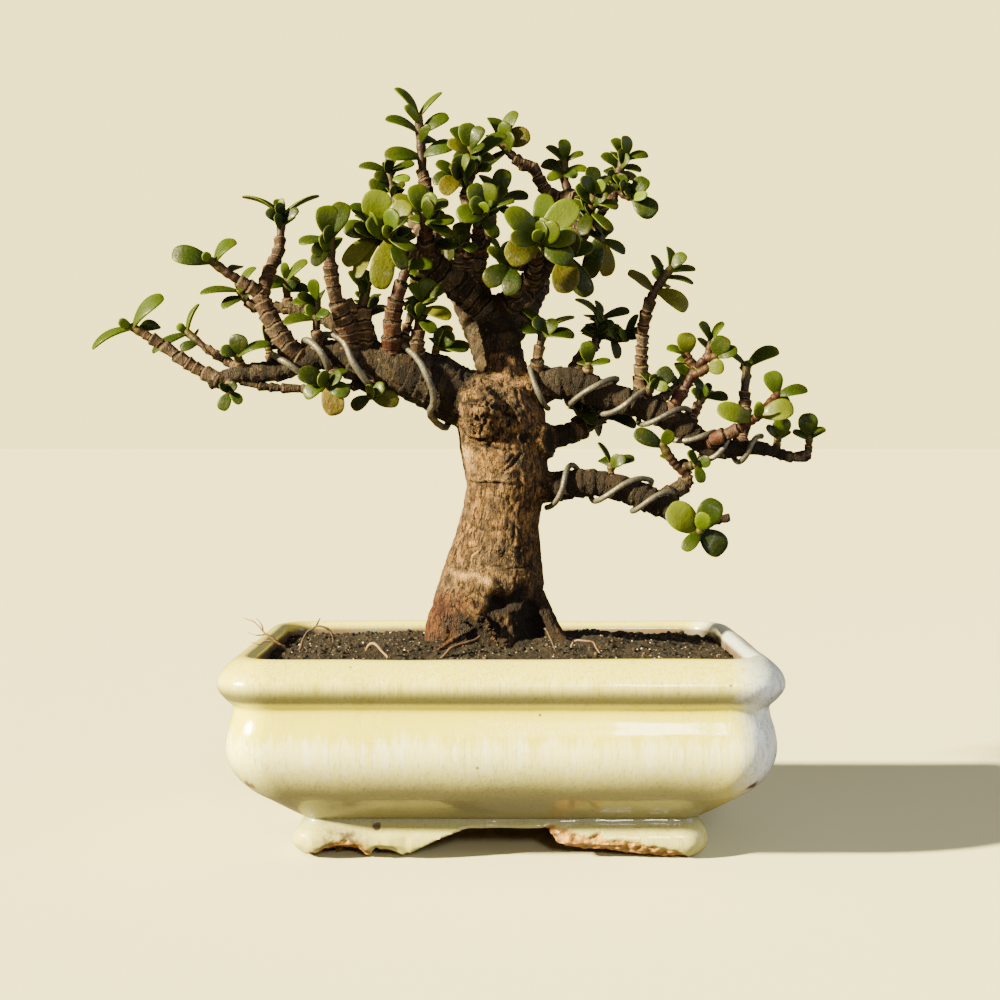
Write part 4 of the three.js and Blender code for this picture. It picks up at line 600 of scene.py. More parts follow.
class Sheet:
    """A shader node tree that is filled in few words.

    Attributes:
        tree: The tree that the nodes go into.
    """

    def __init__(self, tree: NodeTree) -> None:
        """Starts on an empty tree."""
        self.tree = tree

    def node(self, kind: str, inputs: dict | None = None, **settings: object) -> Node:
        """Adds a node.

        Args:
            kind: The node's type, without its ShaderNode.
            inputs: Values or sockets for its inputs, by name or number.
            settings: Its own properties.

        Returns:
            The new node.
        """
        made = self.tree.nodes.new("ShaderNode" + kind)
        for name, value in settings.items():
            setattr(made, name, value)
        for name, value in (inputs or {}).items():
            if isinstance(value, NodeSocket):
                self.tree.links.new(value, made.inputs[name])
            else:
                made.inputs[name].default_value = value
        return made

    def maths(self, operation: str, first: object, second: object = 0.5,
              third: object = 0.0) -> NodeSocket:
        """The result of a Math node."""
        return self.node("Math", {0: first, 1: second, 2: third}, operation=operation).outputs[0]

    def times(self, first: object, *others: object) -> object:
        """The product of some values."""
        for other in others:
            first = self.maths("MULTIPLY", first, other)
        return first

    def plus(self, first: object, second: object) -> NodeSocket:
        """The sum of two values."""
        return self.maths("ADD", first, second)

    def scaled(self, value: object, factor: float, rise: float) -> NodeSocket:
        """A value multiplied, and then raised."""
        return self.maths("MULTIPLY_ADD", value, factor, rise)

    def band(self, value: object, low: object, high: object, end: float = 1) -> NodeSocket:
        """Rises smoothly from 0, where the value is low, to end, where it is high."""
        inputs = {"Value": value, "From Min": low, "From Max": high, "To Max": end}
        return self.node("MapRange", inputs, interpolation_type="SMOOTHSTEP").outputs[0]

    def mix(self, share: object, first: object, second: object, blend: str = "MIX") -> NodeSocket:
        """Mixes two colours by a share from 0 to 1."""
        inputs = {0: share, 6: self.shade(first), 7: self.shade(second)}
        made = self.node("Mix", inputs, data_type="RGBA", blend_type=blend)
        return made.outputs[2]

    @staticmethod
    def shade(colour: object) -> object:
        """A hex shade as a linear colour, and anything else as it is."""
        return (*linear(colour), 1.0) if isinstance(colour, str) else colour

    def vector(self, operation: str, first: object, second: object) -> NodeSocket:
        """The result of a Vector Math node."""
        return self.node("VectorMath", {0: first, 1: second}, operation=operation).outputs[0]

    def noise(self, vector: object, scale: object, detail: float = 3.0, rough: float = 0.55,
              distortion: float = 0.0) -> NodeSocket:
        """The grey value of a Noise Texture."""
        inputs = {"Vector": vector, "Scale": scale, "Detail": detail, "Roughness": rough,
                  "Distortion": distortion}
        return self.node("TexNoise", inputs).outputs[0]

    def group(self, tree: NodeTree, inputs: dict) -> NodeSocket:
        """The output of a node group."""
        return self.node("Group", inputs, node_tree=tree).outputs[0]


def start_group(name: str, numbers: dict[str, float]) -> tuple[NodeTree, Sheet, Node]:
    """Starts a shader node group with a Vector and some numbers in, and a Mask out.

    Args:
        name: The group's name.
        numbers: Its number inputs, with their usual values.

    Returns:
        The group, its sheet, and its input node.
    """
    tree = bpy.data.node_groups.new(name, "ShaderNodeTree")
    tree.interface.new_socket("Vector", in_out="INPUT", socket_type="NodeSocketVector")
    for label, usual in numbers.items():
        socket = tree.interface.new_socket(label, in_out="INPUT", socket_type="NodeSocketFloat")
        socket.default_value = usual
    tree.interface.new_socket("Mask", in_out="OUTPUT", socket_type="NodeSocketFloat")
    return tree, Sheet(tree), tree.nodes.new("NodeGroupInput")


def end_group(tree: NodeTree, mask: NodeSocket) -> NodeTree:
    """Links the mask to the group's output."""
    tree.links.new(mask, tree.nodes.new("NodeGroupOutput").inputs[0])
    return tree


def mottle_group() -> NodeTree:
    """Soft uneven patches, from 0 to 1."""
    tree, sheet, given = start_group("mottle", {"Scale": 100.0, "Sharp": 0.2})
    coarse = sheet.noise(given.outputs["Vector"], given.outputs["Scale"], 5.0, 0.6)
    low = sheet.maths("SUBTRACT", 0.5, given.outputs["Sharp"])
    return end_group(tree, sheet.band(coarse, low, sheet.plus(0.5, given.outputs["Sharp"])))


def crack_group() -> NodeTree:
    """A net of fine lines, 1 on the line and 0 off it."""
    tree, sheet, given = start_group("crack_net", {"Scale": 100.0, "Width": 0.04, "Warp": 0.003})
    bent = sheet.node("TexNoise", {"Vector": given.outputs["Vector"], "Scale": given.outputs["Scale"]})
    centred = sheet.vector("SUBTRACT", bent.outputs["Color"], (0.5, 0.5, 0.5))
    pushed = sheet.node("VectorMath", {0: centred, "Scale": given.outputs["Warp"]}, operation="SCALE")
    moved = sheet.vector("ADD", given.outputs["Vector"], pushed.outputs[0])
    cells = sheet.node("TexVoronoi", {"Vector": moved, "Scale": given.outputs["Scale"]},
                       feature="DISTANCE_TO_EDGE")
    return end_group(tree, sheet.band(cells.outputs["Distance"], given.outputs["Width"], 0))


def speck_group() -> NodeTree:
    """Scattered round specks, 1 on a speck and 0 off it."""
    tree, sheet, given = start_group("specks", {"Scale": 200.0, "Size": 0.25, "Share": 0.3})
    inputs = {"Vector": given.outputs["Vector"], "Scale": given.outputs["Scale"]}
    cells = sheet.node("TexVoronoi", inputs)
    near = sheet.band(cells.outputs["Distance"], given.outputs["Size"], 0)
    red = sheet.node("SeparateColor", {0: cells.outputs["Color"]}).outputs[0]
    return end_group(tree, sheet.times(near, sheet.maths("LESS_THAN", red, given.outputs["Share"])))


@dataclass
class Effects:
    """The node groups that several finishes share."""

    mottle: NodeTree = field(default_factory=mottle_group)
    cracks: NodeTree = field(default_factory=crack_group)
    specks: NodeTree = field(default_factory=speck_group)


class Coating(Sheet):
    """A material on one Principled BSDF, made by laying shade over shade.

    Attributes:
        material: The material.
        shader: Its Principled BSDF.
        effects: The shared node groups.
        place: Coordinates on the piece, in metres.
        colour: The shades laid so far.
    """

    def __init__(self, effects: Effects, name: str, **sockets: object) -> None:
        """Starts the material, with plain values for the shader's sockets, where _ stands for a space."""
        self.material = bpy.data.materials.new(name)
        self.material.use_nodes = True
        super().__init__(self.material.node_tree)
        self.shader = self.tree.nodes["Principled BSDF"]
        for label, value in sockets.items():
            self.shader.inputs[label.replace("_", " ")].default_value = value
        self.effects = effects
        self.place = self.node("TexCoord").outputs["Object"]
        self.colour: object = None

    def clouds(self, scale: object, detail: float = 3, rough: float = 0.55,
               distortion: float = 0) -> NodeSocket:
        """Noise over the piece, by one scale or by one for each axis."""
        if isinstance(scale, tuple):
            return self.noise(self.vector("MULTIPLY", self.place, scale), 1, detail, rough, distortion)
        return self.noise(self.place, scale, detail, rough, distortion)

    def mottle(self, scale: float, sharp: float) -> NodeSocket:
        """Soft uneven patches over the piece."""
        return self.group(self.effects.mottle, {"Vector": self.place, "Scale": scale, "Sharp": sharp})

    def specks(self, scale: float, size: float, share: float) -> NodeSocket:
        """Specks scattered over the piece."""
        inputs = {"Vector": self.place, "Scale": scale, "Size": size, "Share": share}
        return self.group(self.effects.specks, inputs)

    def cracks(self, flat: float, scale: float, width: float, warp: float) -> NodeSocket:
        """A net of cracks over the piece, taller than wide where flat is under 1."""
        place = self.vector("MULTIPLY", self.place, (1, 1, flat))
        inputs = {"Vector": place, "Scale": scale, "Width": width, "Warp": warp}
        return self.group(self.effects.cracks, inputs)

    def wash(self, shade: object, *shares: object) -> None:
        """Lays a shade over the colour, by the product of the shares."""
        self.colour = self.mix(self.times(*shares), self.colour, shade)

    def feed(self, label: str, value: NodeSocket) -> None:
        """Links a value to one of the shader's sockets."""
        self.tree.links.new(value, self.shader.inputs[label])

    def bump(self, height: object, depth: float, strength: float = 1) -> None:
        """Raises the surface by a height from 0 to 1, where 1 is so many metres deep."""
        raised = self.node("Bump", {"Height": height, "Distance": depth, "Strength": strength})
        self.feed("Normal", raised.outputs[0])

    def done(self) -> Material:
        """Feeds the colour to the shader, and gives the material."""
        self.feed("Base Color", self.colour)
        return self.material


@dataclass(frozen=True)
class Glaze:
    """Cream glaze over ochre clay: yellow where it pooled, and brushed in fine upright runs."""

    cream: str = "EAE06C"
    white: str = "F8F1A4"
    # cool: painted fill light, bluish white, on the pot's right end
    painted_fill_light: str = "DCE6F2"
    pooled: str = "DCD11A"
    rim_yellow: str = "CFC434"
    # olive: the glaze's olive runs and inner wall, and on the low belly partly painted shade
    olive: str = "50504A"
    # shade: painted shade on the roll's underside, under the rim
    shade: str = "3A3828"
    clay: str = "C8943A"
    dark_clay: str = "75501E"
    stain: str = "4A3320"
    brushed: str = "F6F5DA"
    pores: str = "3A2E1C"
    dark_patch: str = "4E3F26"

    def make(self, effects: Effects) -> Material:
        """Builds the material; the piece's wear attribute holds bare clay, inside, and a darker patch with
        the pinhole.
        """
        sheet = Coating(effects, "glaze", Coat_Weight=0.4, Coat_Roughness=0.06)
        attribute = sheet.node("Attribute", attribute_name="wear")
        wear = sheet.node("SeparateColor", {0: attribute.outputs[0]})
        bare, inside, dark_patch = wear.outputs[0], wear.outputs[1], wear.outputs[2]
        where = sheet.node("SeparateXYZ", {0: sheet.place}).outputs
        sideways, height = where[0], where[2]
        runs = sheet.clouds((950, 950, 12), 4, 0.7)
        broad = sheet.clouds((210, 210, 7), 3, 0.6)
        uneven = sheet.mottle(30, 0.25)

        fringe = sheet.plus(sheet.scaled(broad, 0.018, -0.009), sheet.scaled(runs, 0.008, -0.004))
        edge = sheet.plus(height, fringe)
        sheet.colour = sheet.mix(sheet.times(uneven, 0.5), self.cream, self.white)
        body = sheet.times(sheet.band(edge, 0.034, 0.046), sheet.band(edge, 0.06, 0.05))
        sheet.wash(self.white, body, 0.7)
        sheet.wash(self.rim_yellow, sheet.band(edge, 0.0725, 0.0815, 0.8))
        end = sheet.band(sheet.plus(sideways, sheet.times(fringe, 0.7)), 0.108, 0.122, 0.85)
        sheet.wash(self.olive, sheet.band(runs, 0.5, 0.72, 0.42))
        sheet.wash(self.white, sheet.band(runs, 0.48, 0.3, 0.5))
        sheet.wash(self.pooled, sheet.band(broad, 0.54, 0.68, 0.35))
        sheet.wash(self.brushed, sheet.band(sheet.clouds((420, 420, 4), 1), 0.56, 0.63, 0.6), body)
        sheet.wash(self.pooled, sheet.band(edge, 0.05, 0.058), sheet.band(height, 0.0695, 0.0665), 0.97)
        # Painted shade: the roll's underside, under the rim, is darkened with the shade colour.
        painted_rim_shade = sheet.times(sheet.band(height, 0.0672, 0.0695), sheet.band(height, 0.0785, 0.071))
        sheet.wash(self.shade, painted_rim_shade, 0.85)
        # The low belly turns olive: partly the glaze's own colour, partly painted shade on the down-turned
        # belly; less on the feet and towards the right end.
        feet = sheet.scaled(sheet.band(height, 0.011, 0.017), 0.5, 0.5)
        low = sheet.band(height, 0.052, 0.0225, 0.84)
        sheet.wash(self.olive, low, feet, sheet.band(sideways, 0.125, 0.095))
        # Painted light: the pot's right end is washed bluish white for the fill light that falls on it.
        sheet.wash(self.painted_fill_light, end)
        folds = sheet.clouds((260, 260, 45), 2, 0.5, 1.2)
        sheet.wash(self.stain, sheet.band(sheet.maths("PINGPONG", folds, 0.5), 0.465, 0.495), end, 0.45)
        sheet.wash(self.dark_clay, sheet.cracks(0.6, 240, 0.035, 0.002), sheet.mottle(34, 0.08), 0.28)
        sheet.wash(self.pores, sheet.specks(120, 0.12, 0.05))
        sheet.wash(self.dark_patch, dark_patch, sheet.scaled(sheet.mottle(240, 0.14), 0.65, 0.35))

        grain = sheet.mottle(300, 0.16)
        wall = sheet.mix(uneven, self.dark_clay, self.olive)
        sheet.wash(sheet.mix(sheet.mottle(60, 0.2), self.stain, wall), inside)
        sheet.wash(sheet.mix(grain, self.dark_clay, self.clay), bare)

        dull = sheet.maths("MAXIMUM", bare, sheet.times(inside, 0.8))
        dull = sheet.maths("MAXIMUM", dull, sheet.band(height, 0.034, 0.028, 0.5))
        sheet.feed("Roughness", sheet.scaled(dull, 0.6, 0.2))
        relief = sheet.plus(sheet.times(runs, 0.25), sheet.times(broad, 0.5))
        relief = sheet.plus(relief, sheet.times(bare, grain, 2.5))
        sheet.bump(relief, 0.0005, 0.5)
        return sheet.done()


@dataclass(frozen=True)
class Earth:
    """Potting mix: almost black, with paler dry lumps and light grit."""

    dark: str = "0A0604"
    brown: str = "1E150E"
    dry: str = "392C1F"
    grit: str = "B7A68C"

    def make(self, effects: Effects) -> Material:
        """Builds the material of the bed."""
        sheet = Coating(effects, "earth", Roughness=0.95, Specular_IOR_Level=0.25)
        lumps = sheet.mottle(420, 0.16)
        sheet.colour = sheet.mix(lumps, self.dark, self.brown)
        sheet.wash(self.dry, sheet.mottle(110, 0.16), 0.4)
        sheet.wash(self.grit, sheet.specks(700, 0.34, 0.12))
        sheet.bump(sheet.plus(sheet.clouds(1100, 4, 0.7), lumps), 0.0011)
        return sheet.done()


@dataclass(frozen=True)
class Tinted:
    """A dull material that takes each crumb's or rootlet's own colour from its tint attribute."""

    name: str
    roughness: float = 0.9
    grain: float = 900
    dirt: str = "0E0906"

    def make(self, effects: Effects) -> Material:
        """Builds the material."""
        sheet = Coating(effects, self.name, Roughness=self.roughness, Specular_IOR_Level=0.3)
        tint = sheet.node("Attribute", attribute_name="tint").outputs[0]
        sheet.colour = sheet.mix(sheet.times(sheet.mottle(self.grain, 0.25), 0.4), tint, self.dirt)
        sheet.bump(sheet.clouds(self.grain * 1.6, 3), 0.0003)
        return sheet.done()


@dataclass(frozen=True)
class BarkFinish:
    """Bark from old grey-brown plates to glossy red young wood, by the piece's bark attribute."""

    dark: str = "100905"
    brown: str = "4A301A"
    tan: str = "99703F"
    grey: str = "554A3C"
    # limb and limb_light: the limbs' bark, made darker than it is as painted shade of the crown over them.
    limb: str = "0F0906"
    limb_light: str = "3A2A19"
    red: str = "3A1707"
    russet: str = "663214"
    ripe: str = "2C0E06"
    young: str = "1C110A"
    young_light: str = "513E2B"
    wound: str = "190F08"
    peeled: str = "AC8658"

    def make(self, effects: Effects) -> Material:
        """Builds the material; bark holds crease, redness, youth, and dark wounds with painted shade, or
        pale peeling.
        """
        sheet = Coating(effects, "bark", Specular_IOR_Level=0.22)
        attribute = sheet.node("Attribute", attribute_name="bark")
        parts = sheet.node("SeparateColor", {0: attribute.outputs["Color"]})
        crease, redness, youth = parts.outputs[0], parts.outputs[1], parts.outputs[2]
        marks_and_shade = attribute.outputs["Alpha"]
        old_age = sheet.maths("SUBTRACT", 1, youth)

        plates = sheet.mottle(210, 0.14)
        patches = sheet.mottle(60, 0.12)
        fine = sheet.clouds(900, 5, 0.75)
        fibre = sheet.clouds((1000, 1000, 210), 4, 0.65)
        old = sheet.mix(plates, self.brown, self.tan)
        old = sheet.mix(sheet.times(patches, 0.5), old, self.grey)
        # Painted shade: the limbs take the darker limb colours.
        limb = sheet.mix(plates, self.limb, self.limb_light)
        sheet.colour = sheet.mix(sheet.band(youth, 0, 0.22), old, limb)
        sheet.wash(sheet.mix(plates, self.young, self.young_light), sheet.band(youth, 0.3, 0.85))
        ruddy = sheet.mix(plates, self.red, self.russet)
        ruddy = sheet.mix(sheet.band(youth, 0.3, 0.85, 0.78), ruddy, self.ripe)
        sheet.wash(ruddy, redness)
        cycle = sheet.node("Attribute", attribute_name="rings").outputs["Fac"]
        ringed = sheet.plus(cycle, sheet.scaled(sheet.clouds(260), 0.5, -0.25))
        ring = {"W": sheet.maths("FLOOR", ringed)}
        chance = sheet.node("TexWhiteNoise", ring, noise_dimensions="1D").outputs[0]
        grown = sheet.times(sheet.band(youth, 0.15, 0.25), sheet.scaled(redness, -0.8, 1))
        sheet.wash(self.grey, sheet.band(chance, 0.55, 1, 0.55), grown)
        sheet.wash(self.limb, sheet.band(chance, 0.4, 0, 0.5), grown)
        near = sheet.maths("PINGPONG", ringed, 0.5)
        line = sheet.times(sheet.band(near, 0.09, 0.02), sheet.band(youth, 0.1, 0.6))
        edge = sheet.times(sheet.band(near, 0.07, 0.13), sheet.band(near, 0.26, 0.15))
        sheet.wash(self.peeled, edge, grown, sheet.band(youth, 0.3, 0.85, 0.32))
        sheet.wash(self.dark, sheet.band(fine, 0.56, 0.34, 0.75))
        sheet.wash(self.dark, sheet.band(fibre, 0.5, 0.34), old_age)
        sheet.wash(self.peeled, sheet.specks(430, 0.34, 0.14), sheet.scaled(redness, -0.5, 0.5))
        slit = sheet.times(sheet.cracks(0.3, 430, 0.11, 0.004), old_age, sheet.mottle(150, 0.1))
        sheet.wash(self.dark, slit, 0.85)
        # Painted shade: creases, fissures and ring grooves are darkened, over the bark's own darker
        # fissures.
        sheet.wash(self.dark, sheet.maths("MAXIMUM", crease, line), 0.9)
        sheet.wash(self.wound, sheet.band(marks_and_shade, 0.5, 1))
        sheet.wash(self.peeled, sheet.band(marks_and_shade, 0.5, 0))

        sheet.feed("Roughness", sheet.scaled(redness, -0.3, 0.85))
        relief = sheet.plus(fine, sheet.times(fibre, 0.8))
        relief = sheet.times(relief, sheet.scaled(youth, -0.95, 1))
        relief = sheet.maths("SUBTRACT", relief, sheet.times(slit, 0.9))
        relief = sheet.maths("SUBTRACT", relief, sheet.times(line, 0.7))
        sheet.bump(relief, 0.0015, 0.95)
        return sheet.done()


@dataclass(frozen=True)
class LeafFinish:
    """Waxy succulent leaf: fine pale dots, a paler rim, and brown roughness where it is old."""

    # rim: the leaf's paler margin, partly a painted highlight on its rounded edge
    rim: str = "7C8226"
    base: str = "544A12"
    dots: str = "606A1A"
    scorch: str = "4A3016"

    def make(self, effects: Effects) -> Material:
        """Builds the material; tint holds the blade's colour and its age, and UVs its two ways."""
        sheet = Coating(effects, "leaf", Roughness=0.42, Specular_IOR_Level=0.12, Subsurface_Weight=0.1,
                        Subsurface_Scale=0.0015, Subsurface_Radius=(0.6, 1, 0.2), Coat_Weight=0.04,
                        Coat_Roughness=0.16)
        flat = sheet.node("SeparateXYZ", {0: sheet.node("UVMap", uv_map="blade").outputs[0]})
        across = sheet.maths("ABSOLUTE", sheet.scaled(flat.outputs[0], 2, -1))
        attribute = sheet.node("Attribute", attribute_name="tint")
        tint, age = attribute.outputs["Color"], attribute.outputs["Alpha"]

        shade = sheet.mix(0.6, tint, tint, "MULTIPLY")
        sheet.colour = sheet.mix(sheet.times(sheet.mottle(170, 0.3), 0.45), tint, shade)
        sheet.wash(shade, sheet.band(across, 0.75, 0.1, 0.3))
        sheet.wash(self.dots, sheet.specks(1500, 0.4, 0.35), 0.3)
        # The paler rim: partly the leaf's margin colour, partly a painted highlight on the rounded edge.
        sheet.wash(self.rim, sheet.band(across, 0.9, 1, 0.6))
        sheet.wash(self.base, sheet.band(flat.outputs[1], 0.14, 0, 0.6))
        sheet.wash(self.scorch, sheet.band(sheet.clouds(520, 4, 0.65), 0.52, 0.68), age, 0.75)
        sheet.bump(sheet.times(sheet.clouds(420, 4, 0.65), sheet.plus(age, 0.2)), 0.001, 0.8)
        return sheet.done()


@dataclass(frozen=True)
class YoungStem:
    """Soft young stem, green to red by its tint attribute."""

    brown: str = "1E120B"

    def make(self, effects: Effects) -> Material:
        """Builds the material."""
        sheet = Coating(effects, "young_stem", Roughness=0.5, Specular_IOR_Level=0.2)
        tint = sheet.node("Attribute", attribute_name="tint").outputs["Color"]
        sheet.colour = sheet.mix(sheet.times(sheet.mottle(260, 0.25), 0.5), tint, self.brown)
        sheet.bump(sheet.clouds(700, 3), 0.0004)
        return sheet.done()


@dataclass(frozen=True)
class DullMetal:
    """Bare aluminium wire that has weathered grey, brighter where it is rubbed."""

    grey: str = "433F38"
    rubbed: str = "777062"
    tarnish: str = "1E1B17"

    def make(self, effects: Effects) -> Material:
        """Builds the material."""
        sheet = Coating(effects, "wire", Metallic=0.6)
        fine = sheet.mottle(900, 0.2)
        sheet.colour = sheet.mix(sheet.mottle(140, 0.25), self.grey, self.rubbed)
        sheet.wash(self.tarnish, fine, 0.45)
        sheet.feed("Roughness", sheet.scaled(fine, 0.25, 0.38))
        sheet.bump(fine, 0.0001)
        return sheet.done()


@dataclass(frozen=True)
class PlasticMesh:
    """Black moulded plastic, dusty with soil."""

    black: str = "16181A"
    dust: str = "4A3826"

    def make(self, effects: Effects) -> Material:
        """Builds the material."""
        sheet = Coating(effects, "screen_plastic", Roughness=0.6)
        sheet.colour = sheet.mix(sheet.times(sheet.mottle(180, 0.2), 0.5), self.black, self.dust)
        sheet.bump(sheet.clouds(800, 3), 0.0002)
        return sheet.done()


@dataclass(frozen=True)
class PaleFloor:
    """The plain pale studio floor, which throws little of its light back on the pot."""

    seen: str = "DFD9B2"
    thrown: str = "6A655E"

    def make(self, effects: Effects) -> Material:
        """Builds the material."""
        sheet = Coating(effects, "pale_floor", Roughness=0.95, Specular_IOR_Level=0)
        look = sheet.node("LightPath").outputs["Is Camera Ray"]
        sheet.colour = sheet.mix(look, self.thrown, self.seen)
        return sheet.done()


@dataclass
class Palette:
    """Every finish, built once."""

    effects: Effects = field(default_factory=Effects)
    made: dict[str, Material] = field(default_factory=dict)

    def get(self, finish: object) -> Material:
        """The finish's material, built at its first use."""
        label = f"{type(finish).__name__}_{getattr(finish, 'name', '')}"
        if label not in self.made:
            self.made[label] = finish.make(self.effects)
        return self.made[label]


# ---- Pot ----


@dataclass
class Pot:
    """The glazed pot: rolled rim, waist and belly over four feet, all sizes in millimetres.

    Attributes:
        corner: Plan radius of the rim's corners; corner_shrink, how fast it falls with the inset,
            and corner_least, where it stops.
        corner_steps: Points round a corner, and side_steps along the front and the end.
        floor_top: Height of the floor inside.
        foot_wall: How thick the feet are; foot_hollow, how high they are hollow; foot_voxel, their
            skin's detail.
        profile: The outer side from the base up, over the rim and down inside, as inset and height.
        foot_profile: The feet's outer side.
        front_arch: The gap in front, as where each side leaves the ground and where its top begins.
    """

    width: float = 230
    depth: float = 170
    corner: float = 20
    corner_shrink: float = 0.35
    corner_least: float = 6
    corner_steps: int = 14
    side_steps: tuple[int, int] = (56, 40)
    floor_top: float = 27
    foot_wall: float = 11
    foot_hollow: float = 12
    foot_voxel: float = 1
    arch_height: float = 13
    front_arch: Route = field(default_factory=lambda: rows(
        "-42 -13, 26 18"))
    side_arch: Route = field(default_factory=lambda: rows(
        "-28 -4, 28 4"))
    drain_radius: float = 7
    drain_x: float = 52
    profile: Route = field(default_factory=lambda: rows(
        "32.5 12.3, 20.4 20.4, 13 25.6, 7.6 31.5, 4.2 38, 3.1 44, 3.9 51, 5.6 57.5, 5.8 61, 3.4 63.8, "
        "0.7 67.6, 0 71, 1.4 75, 4.8 78.6, 8 80.6, 11 81, 13.4 79, 14 73, 13 44, 20 31, 27 27, 40 27"))
    foot_profile: Route = field(default_factory=lambda: rows(
        "34 -4.5, 31.5 -3, 28.8 1.5, 29.6 6.5, 32.6 10.5, 33.5 16"))

    def ring(self, inset: float) -> list[tuple[float, float]]:
        """The pot's plan at one inset from its widest line, counterclockwise from above.

        Args:
            inset: Millimetres in from the widest line.

        Returns:
            The points of a rectangle with round corners, in millimetres from the middle.
        """
        half_x, half_y = self.width / 2 - inset, self.depth / 2 - inset
        radius = min(max(self.corner - inset * self.corner_shrink, self.corner_least), half_y)
        points = []
        for corner, (sign_x, sign_y) in enumerate(((1, 1), (-1, 1), (-1, -1), (1, -1))):
            centre = Vector((sign_x * (half_x - radius), sign_y * (half_y - radius)))
            for step in range(self.corner_steps + 1):
                turn = (corner + step / self.corner_steps) * math.pi / 2
                points.append(centre + Vector((math.cos(turn), math.sin(turn))) * radius)
            start = points.pop()
            way = Vector((-math.sin(turn), math.cos(turn)))
            run = 2 * ((half_y if corner % 2 else half_x) - radius)
            steps = self.side_steps[corner % 2]
            points += [start + way * (run * step / steps) for step in range(steps)]
        return points

    def loft(self, profile: Route) -> BMesh:
        """A closed solid whose plan rings follow the profile.

        Args:
            profile: Its levels, as inset and height in millimetres.

        Returns:
            The solid, around the pot's middle.
        """
        bm = bmesh.new()
        bmesh.ops.create_circle(bm, cap_ends=True, segments=len(self.ring(0)), radius=1.0)
        cap = next(iter(bm.faces))
        for level, (inset, height) in enumerate(profile):
            if level:
                cap = push(bm, cap)
            for vert, point in zip(cap.verts, self.ring(inset)):
                vert.co = Vector((point.x, point.y, height)) * MM + POT_CENTRE
        bmesh.ops.recalc_face_normals(bm, faces=bm.faces[:])
        return bm

    @staticmethod
    def rounded(profile: Route, between: int) -> Route:
        """The profile with more points between, on a smooth curve.

        Args:
            profile: Its levels, as inset and height in millimetres.
            between: Points to add in each stretch.

        Returns:
            The finer profile.
        """
        points = [Vector((inset, 0, height)) for inset, height in profile]
        fine = []
        for low in range(len(points) - 1):
            for step in range(between + 1):
                point = curve_point(points, low, step / (between + 1))
                fine.append([point.x, point.z])
        return [*fine, profile[-1]]

    def tunnel(self, arch: Route, length: float, turned: bool) -> Object:
        """The arched gap between two feet, as a tool that is cut away.

        Args:
            arch: Each side of it, as where it leaves the ground and where its flat top begins.
            length: How far the tunnel runs, in millimetres.
            turned: Whether it runs along X.

        Returns:
            The tool.
        """
        top = FEET_LEVEL + self.arch_height
        outline = []
        for floor, flat in reversed(arch):
            side = [(floor, FEET_LEVEL - 1)]
            toe = (floor + (flat - floor) / 8, FEET_LEVEL + self.arch_height / 6)
            bend, end = ((floor + flat) / 2, FEET_LEVEL + self.arch_height * 0.7), (flat, top)
            for step in range(9):
                share = step / 8
                side.append(tuple((1 - share) ** 2 * a + 2 * share * (1 - share) * b + share ** 2 * c
                                  for a, b, c in zip(toe, bend, end)))
            outline += side if not outline else reversed(side)
        bm = bmesh.new()
        corners = [bm.verts.new((x, -length / 2, z)) for x, z in outline]
        far = push(bm, bm.faces.new(corners))
        bmesh.ops.translate(bm, verts=far.verts[:], vec=(0, length, 0))
        if turned:
            bmesh.ops.rotate(bm, verts=bm.verts[:], matrix=Matrix.Rotation(math.pi / 2, 3, "Z"))
        bmesh.ops.scale(bm, verts=bm.verts[:], vec=(MM, MM, MM))
        bmesh.ops.translate(bm, verts=bm.verts[:], vec=POT_CENTRE)
        bmesh.ops.recalc_face_normals(bm, faces=bm.faces[:])
        return make_object("tunnel", bm)

    def feet(self) -> Object:
        """The four feet: a hollow skirt, cut by two arches, its edges softened and chipped."""
        feet = make_object("feet", self.loft(self.rounded(self.foot_profile, 3)))
        inner = [inset + self.foot_wall for inset, _ in self.foot_profile]
        levels = [[inner[0], FEET_LEVEL - 1], [inner[3], self.foot_hollow]]
        hollow = make_object("hollow", self.loft(levels))
        combine(feet, hollow, "DIFFERENCE")
        combine(feet, self.tunnel(self.front_arch, self.depth * 2, False), "DIFFERENCE")
        combine(feet, self.tunnel(self.side_arch, self.width * 2, True), "DIFFERENCE")
        voxelled(feet, self.foot_voxel * MM)
        places, normals = vertex_places(feet.data), vertex_normals(feet.data)
        chips, _, ragged = self.damage(places)
        x, y, z = ((places - np.array(POT_CENTRE)) / MM).T
        lumpy = 0.3 + 1.3 * (x < -38) * unit((-y - 30) / 8) * unit((9 - z) / 4)
        swell = wave(places / 0.011, 4.0) * lumpy + wave(places / 0.004, 6.0) * lumpy * 0.25
        swell -= chips * (1.1 + wave(places / 0.003, 2.0) * 0.9)
        places += normals * (swell * MM)[:, None]
        places[:, 2] = np.maximum(places[:, 2] + ragged * MM, POT_LOW.z)
        move_vertices(feet.data, places)
        return feet

